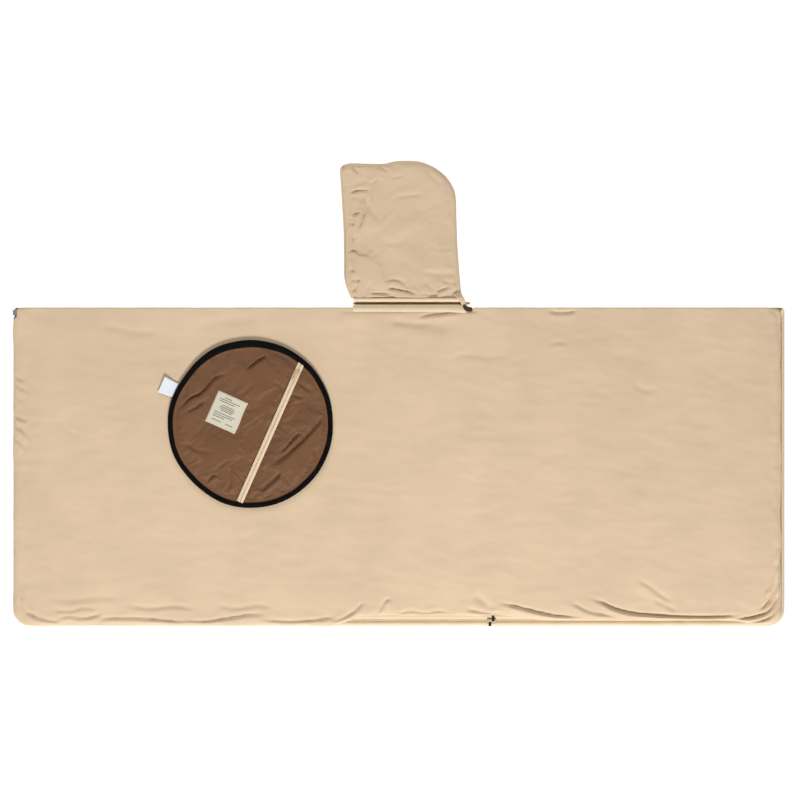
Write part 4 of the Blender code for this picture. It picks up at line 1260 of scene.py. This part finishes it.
# As the cover's folds, in the blanket's coordinates
POUCH_FOLDS = (
    ([(-512, 140), (-484, 160), (-461, 172), (-444, 190), (-430, 206), (-396, 220)], 5.0, 4.0, 3.0),
    ([(-496, 128), (-470, 140), (-450, 158)], 2.4, 4, 1.6),
    ([(-452, -38), (-440, -27), (-426, -14)], 3.2, 3.8, 2.0),
    ([(-355, 226), (-330, 246), (-308, 260)], 5.0, 4.0, 2.6),
    ([(-300, 2), (-272, 22), (-250, 40), (-222, 66), (-196, 96), (-180, 122)], 7.0, 5.8, 4.0),
    ([(-280, 30), (-254, 56), (-232, 84)], 4.0, 4.2, 2.0),
    ([(-326, -57), (-302, -36), (-272, -10)], 5.0, 4.4, 2.6),
    ([(-326, -79), (-290, -65), (-261, -54), (-242, -42), (-215, -22)], 5.4, 4.4, 3.0),
    ([(-300, -84), (-280, -76), (-262, -76)], 2.4, 3.6, 1.4),
    ([(-500, 60), (-470, 42), (-430, 34)], 1.4, 6, 1.0),
    ([(-380, 172), (-362, 150), (-340, 126)], 1.8, 5, 1.2),
    ([(-404, -62), (-392, -30), (-396, 2)], 1.8, 5, 1.2),
    ([(-366, -80), (-358, -50), (-366, -20)], 2.0, 4, 1.2),
    ([(-272, 186), (-250, 172), (-220, 160)], 2.4, 4, 1.4),
    ([(-244, 206), (-226, 192), (-202, 172)], 2.2, 4, 1.4),
    ([(-290, 160), (-280, 132), (-282, 100)], 1.6, 5, 1.2),
)


def pouch_point(x, y, z):
    """Points on the blanket from points in the pouch's own frame, whose zip runs along its y."""
    base = (POUCH_MID.x, POUCH_MID.y, POUCH_BASE_Z)
    return base + xyz(x, y, z) @ np.array([POUCH_RIGHT, POUCH_AWAY, (0.0, 0.0, 1.0)])


LABEL_LOW, LABEL_SIZE = Vector((-99 * MM, -36 * MM)), Vector((75 * MM, 78 * MM))


def near_label(x, y):
    """1 under the label, where the cloth is held flat, and 0 away from it."""
    off_x = np.abs(x - LABEL_LOW.x - LABEL_SIZE.x / 2) - LABEL_SIZE.x / 2
    off_y = np.abs(y - LABEL_LOW.y - LABEL_SIZE.y / 2) - LABEL_SIZE.y / 2
    return 1 - smooth(np.maximum(off_x, off_y), 0, 10 * MM)


def pouch_surface(x, y):
    """Height of the brown panels in the pouch's frame."""
    wx, wy, _ = np.moveaxis(pouch_point(x, y, 0.0), -1, 0)
    rim = smooth(POUCH_R - 18 * MM - np.hypot(x, y), 0, 22 * MM)
    by_zip = smooth(np.abs(x - POUCH_ZIP_X), 7 * MM, 22 * MM)
    relief = 1.2 * MM * noise(wx / 0.07, wy / 0.09, 151) + 0.9 * MM * wrinkles(wx, wy, 0.06, 0.022, 153, 1.0)
    relief += 0.5 * MM * wrinkles(wx, wy, 0.035, 0.011, 157, 0.6)
    relief += 0.3 * MM * wrinkles(wx, wy, 0.03, 0.009, 159, 2.2)
    relief = (relief + folds(wx, wy, POUCH_FOLDS)) * (1 - 0.85 * near_label(x, y))
    relief = np.clip(relief, -5.2 * MM, 3.4 * MM)
    return PANEL_Z + (relief + PANEL_SWELL) * rim * by_zip


def pouch_panel(name, node, x0, x1):
    """A brown panel between two chords of the pouch's circle."""
    r = PANEL_R
    step = 2.6 * MM
    xs = np.linspace(x0, x1, int((x1 - x0) / step))
    rows = int(2 * r / step)
    half = np.sqrt(np.maximum(r * r - xs * xs, (4 * MM) ** 2))
    x, share = np.meshgrid(xs, np.linspace(-1, 1, rows))
    y = share * half[None, :]
    held = (np.hypot(x, y) > POUCH_R - 19 * MM) | (near_label(x, y) > 0.9)
    held |= np.abs(x - POUCH_ZIP_X) < 9 * MM
    loose = 0.4 + 0.6 * smooth(x, POUCH_ZIP_X - 60 * MM, POUCH_ZIP_X + 30 * MM)
    soft = relaxed(pouch_point(x, y, pouch_surface(x, y)), held, 0.07, loose, bending=0.1)
    sharper = 0.6 * (pouch_surface(x, y) - PANEL_Z - PANEL_SWELL) * (1 - near_label(x, y))
    soft[..., 2] = np.clip(soft[..., 2] + sharper, POUCH_BASE_Z + 2.8 * MM, POUCH_BASE_Z + 10.8 * MM)
    piece = padded_solid(name, soft, [], soft - (0, 0, 0.7 * MM), ["brown_nylon"])
    put(piece, "pouch", [node])


def pouch_ring(radius, z, turns):
    """Points round the pouch."""
    return pouch_point(radius * np.cos(turns), radius * np.sin(turns), z)


def make_pouch_backing():
    turns = np.linspace(0, math.tau, 97)[:-1]
    lines = [pouch_ring(share * BACKING_R, 1.4 * MM, turns) for share in (0.02, 0.35, 0.7, 1)]
    under = [line - (0, 0, 0.8 * MM) for line in lines[::-1]]
    piece = ring_object("pouch_backing", lines + under, ["brown_nylon"])
    put(piece, "pouch", ["pouch_back_panel"])


def make_pouch_binding():
    """The black binding: a folded tape round a sprung hoop, wider at the top and a little out of round."""
    turns = np.linspace(0, math.tau, 241)[:-1]
    world = turns + POUCH_TURN

    def facing(degrees, width):
        """1 where the binding faces a direction on the blanket, falling to 0 beside it."""
        off = np.mod(world - math.radians(degrees) + math.pi, math.tau) - math.pi
        return hump(off, math.radians(width))

    top, flat_high, flat_low = facing(95, 42), facing(143, 16), facing(228, 18)
    outer = POUCH_R - 2.0 * MM + 3.5 * MM * np.abs(np.sin(world)) - 4.5 * MM * flat_high - 4.0 * MM * flat_low
    outer += 0.7 * MM * noise(turns * 3.0, 0.0, 171)
    width = 12.0 * MM + 5.5 * MM * top + 0.6 * MM * noise(turns * 5.0, 0.0, 173)
    lines = []
    for turn in np.radians(np.arange(0, 360, 22.5)):
        out = math.copysign(abs(math.cos(turn)) ** 0.7, math.cos(turn))
        up = math.copysign(abs(math.sin(turn)) ** 0.75, math.sin(turn))
        pucker = 0.35 * MM * noise(turns * 34, turn * 0.6, 175) * (up > 0)
        z = 4.1 * MM + up * 3.9 * MM + pucker
        lines.append(pouch_ring(outer - width / 2 + out * width / 2, z, turns))
    piece = ring_object("pouch_binding_tape", lines[::-1], ["black_binding"])
    put(piece, "pouch", ["pouch_binding"])
    for share, name in ((0.9, "inner"), (0.12, "outer")):
        path = pouch_ring(outer - width * share, 7.2 * MM, turns)
        row = stitches(f"pouch_binding_stitches_{name}", np.vstack([path, path[:1]]), "dark_thread", 3.4 * MM)
        put(row, "pouch")


def make_pouch_zip():
    ys = np.linspace(-POUCH_ZIP_END_Y, POUCH_ZIP_END_Y, 90)
    for side, sign in (("left", -1), ("right", 1)):
        lines = []
        for out, z in ((0.02, 6.5), (0.02, 7.1), (3.5, 7.6), (7.8, 7.2), (7.8, 6.5)):
            ripple = 0.25 * MM * noise(ys / 0.03, out, 181 + sign)
            lines.append(pouch_point(POUCH_ZIP_X + sign * out * MM, ys, z * MM + ripple * (z > 7)))
        tape = bar_object(f"pouch_zip_tape_{side}", lines[::-sign], ["cream_tape"])
        put(tape, "pouch", [f"pouch_zip_half_{side}"])
        at = np.arange(ys[0] + SMALL_PITCH, ys[-1] - SMALL_PITCH, SMALL_PITCH)
        at += SMALL_PITCH / 2 if sign > 0 else 0.0
        places = pouch_point(POUCH_ZIP_X + sign * MM, at, 7.5 * MM)
        tooth = capsule(3.2 * MM, 1.2 * MM, 1.7 * MM, rings=TOOTH_RINGS)
        teeth = copies(f"pouch_zip_teeth_{side}", tooth, places, POUCH_RIGHT, POUCH_AWAY, "pouch_coil")
        put(teeth, "pouch")
        row = pouch_point(POUCH_ZIP_X + sign * 6.6 * MM, ys, 7.45 * MM)
        put(stitches(f"pouch_zip_stitches_{side}", row, "pouch_coil", 3.2 * MM), "pouch")


# Rows of dashes on the label: height, first and last place along, in millimetres from its corner
LABEL_ROWS = (
    (68, 22, 40), (63, 12, 62), (58, 12, 50), (50, 24, 52), (46, 20, 56), (42, 20, 56),
    (38, 24, 52), (31, 12, 62), (26, 12, 58), (21, 12, 40), (12, 12, 34), (12, 48, 64),
)
LABEL_DASH_PITCH = 3.6


def make_label():
    """A sewn cotton label with rows of plain dashes."""
    low_x, low_y, width, height = *LABEL_LOW, *LABEL_SIZE
    x, y = np.meshgrid(np.linspace(low_x, low_x + width, 30), np.linspace(low_y, low_y + height, 31))
    bow = 0.8 * MM * np.sin((y - low_y) / height * math.pi * 2.0)
    x = x + bow * (x - low_x) / width
    z = pouch_surface(x, y) + 0.9 * MM
    top = pouch_point(x, y, z)
    piece = padded_solid("pouch_label_cloth", top, [], top - (0, 0, 0.6 * MM), ["label_cotton"])
    put(piece, "pouch", ["pouch_label"])
    edge_x, edge_y, edge_z = edge_of(xyz(x, y, z)).T
    inset_x = edge_x + 2.6 * MM * np.sign(low_x + width / 2 - edge_x)
    inset_y = edge_y + 2.6 * MM * np.sign(low_y + height / 2 - edge_y)
    path = pouch_point(inset_x, inset_y, edge_z + 0.15 * MM)
    put(stitches("pouch_label_stitches", np.vstack([path, path[:1]]), pitch=3.4 * MM), "pouch")
    dashes = [(at, row) for row, first, last in LABEL_ROWS for at in np.arange(first, last, LABEL_DASH_PITCH)]
    across, up = np.array(dashes).T * MM
    heights = np.interp(low_y + up, y[:, 0], z[:, z.shape[1] // 2])
    places = pouch_point(low_x + across, low_y + up, heights + 0.25 * MM)
    dash = capsule(2.9 * MM, 1.9 * MM, 0.5 * MM, sides=6)
    marks = copies("pouch_label_marks", dash, places, POUCH_RIGHT, POUCH_AWAY, "ink")
    put(marks, "pouch")


def make_care_tag():
    """A white ribbon tag, folded double and lying on the cover beside the pouch."""
    low, high = -227 * MM, -190 * MM
    x, y = np.meshgrid(np.linspace(low, high, 20), np.linspace(-17 * MM, 17 * MM, 16))
    skew = 3 * MM * (high - x) / (high - low) * (y / (17 * MM))
    curl = 1.6 * MM * smooth(high - 8 * MM - x, 0, 30 * MM) * (0.5 + y / (40 * MM))
    z = 3.0 * MM + curl + 0.5 * MM * noise(x / 0.012, y / 0.012, 191)
    top = pouch_point(x, y + skew, z)
    piece = padded_solid("pouch_care_tag_ribbon", top, [], top - (0, 0, 1.2 * MM), ["white_satin"])
    put(piece, "pouch", ["pouch_care_tag"])


def make_pouch():
    make_pouch_backing()
    pouch_panel("pouch_front_large", "pouch_front_panel", -PANEL_R + 0.5 * MM, POUCH_ZIP_X - ZIP_GAP)
    pouch_panel("pouch_front_side", "pouch_side_panel", POUCH_ZIP_X + ZIP_GAP, PANEL_R - 0.5 * MM)
    make_pouch_binding()
    make_pouch_zip()
    make_label()
    make_care_tag()


# ---------------------------------------------------------------- kept hard parts, stage and camera

KEPT_LOOKS = {"neck_zip_slider": "bronze_metal", "neck_zip_pull": "cream_enamel_metal"}


def finish_kept_nodes():
    """Gives every kept CAD node its slot's look, and rounds the edges of the hard ones."""
    for node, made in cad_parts.items():
        for held in made.material_slots:
            slot = held.material.name.split(".")[0] if held.material else ""
            look = KEPT_LOOKS.get(node, slot)
            if look in LOOKS:
                held.material = LOOKS[look]
        if "slider" in node or "pull" in node or node == "power_inlet":
            bevel = made.modifiers.new("rounded", "BEVEL")
            bevel.width = 0.5 * MM
            bevel.segments = 2
            bevel.limit_method = "ANGLE"


FLOOR_HALF = 40.0
FLOOR_Z = -1 * MM
FLOOR_GLOW = 0.78
WORLD_STRENGTH = 0.32
# Each light's place, diameter and power
LIGHTS = {"key": ((0.3, -4.2, 3.3), 1.3, 259), "fill": ((-1.0, 3.4, 2.2), 3.0, 52)}
CAMERA_LENS = 100
CAMERA_CLIP = 100
CAMERA_PLACE = (0.0023, 0.157, FLAT_Z + 5.17)


def floor_material():
    nodes = Nodes("pale_floor", roughness=0.9)
    speckle = nodes.noise(3.0, 2.0)
    nodes.colour(speckle, (0.44, 0.44, 0.44), (0.46, 0.46, 0.46))
    nodes.shader.inputs["Emission Color"].default_value = WHITE
    nodes.shader.inputs["Emission Strength"].default_value = FLOOR_GLOW
    return nodes.material


def make_light(name, place, size, power):
    """A round lamp that faces the origin."""
    data = bpy.data.lights.new(name, "AREA")
    data.shape = "DISK"
    data.size = size
    data.energy = power
    lamp = bpy.data.objects.new(name, data)
    lamp.location = place
    lamp.rotation_euler = (-Vector(place)).to_track_quat("-Z", "Y").to_euler()
    bpy.context.scene.collection.objects.link(lamp)


def make_stage():
    corners = [(x * FLOOR_HALF, y * FLOOR_HALF, FLOOR_Z) for x, y in ((-1, -1), (1, -1), (1, 1), (-1, 1))]
    LOOKS["floor"] = floor_material()
    floor = make_object("floor", corners, [(0, 1, 2, 3)], ["floor"])
    world = bpy.data.worlds.new("studio")
    world.use_nodes = True
    background = world.node_tree.nodes["Background"].inputs
    background["Color"].default_value = WHITE
    background["Strength"].default_value = WORLD_STRENGTH
    bpy.context.scene.world = world
    for name, facts in LIGHTS.items():
        make_light(name, *facts)
    bpy.context.scene.view_settings.view_transform = "Standard"


def make_camera():
    """A camera straight above, which looks down on the blanket."""
    data = bpy.data.cameras.new("camera")
    data.lens = CAMERA_LENS
    data.clip_end = CAMERA_CLIP
    camera = bpy.data.objects.new("camera", data)
    camera.location = CAMERA_PLACE
    bpy.context.scene.collection.objects.link(camera)
    bpy.context.scene.camera = camera


make_front_cover()
make_front_padding()
make_back_cover()
make_back_padding()
make_lining("front", -1)
make_lining("back", 1)
make_body_zip()
make_fold_wall("left")
make_fold_wall("right")
make_neck()
make_hood()
make_pouch()
finish_kept_nodes()
make_stage()
make_camera()
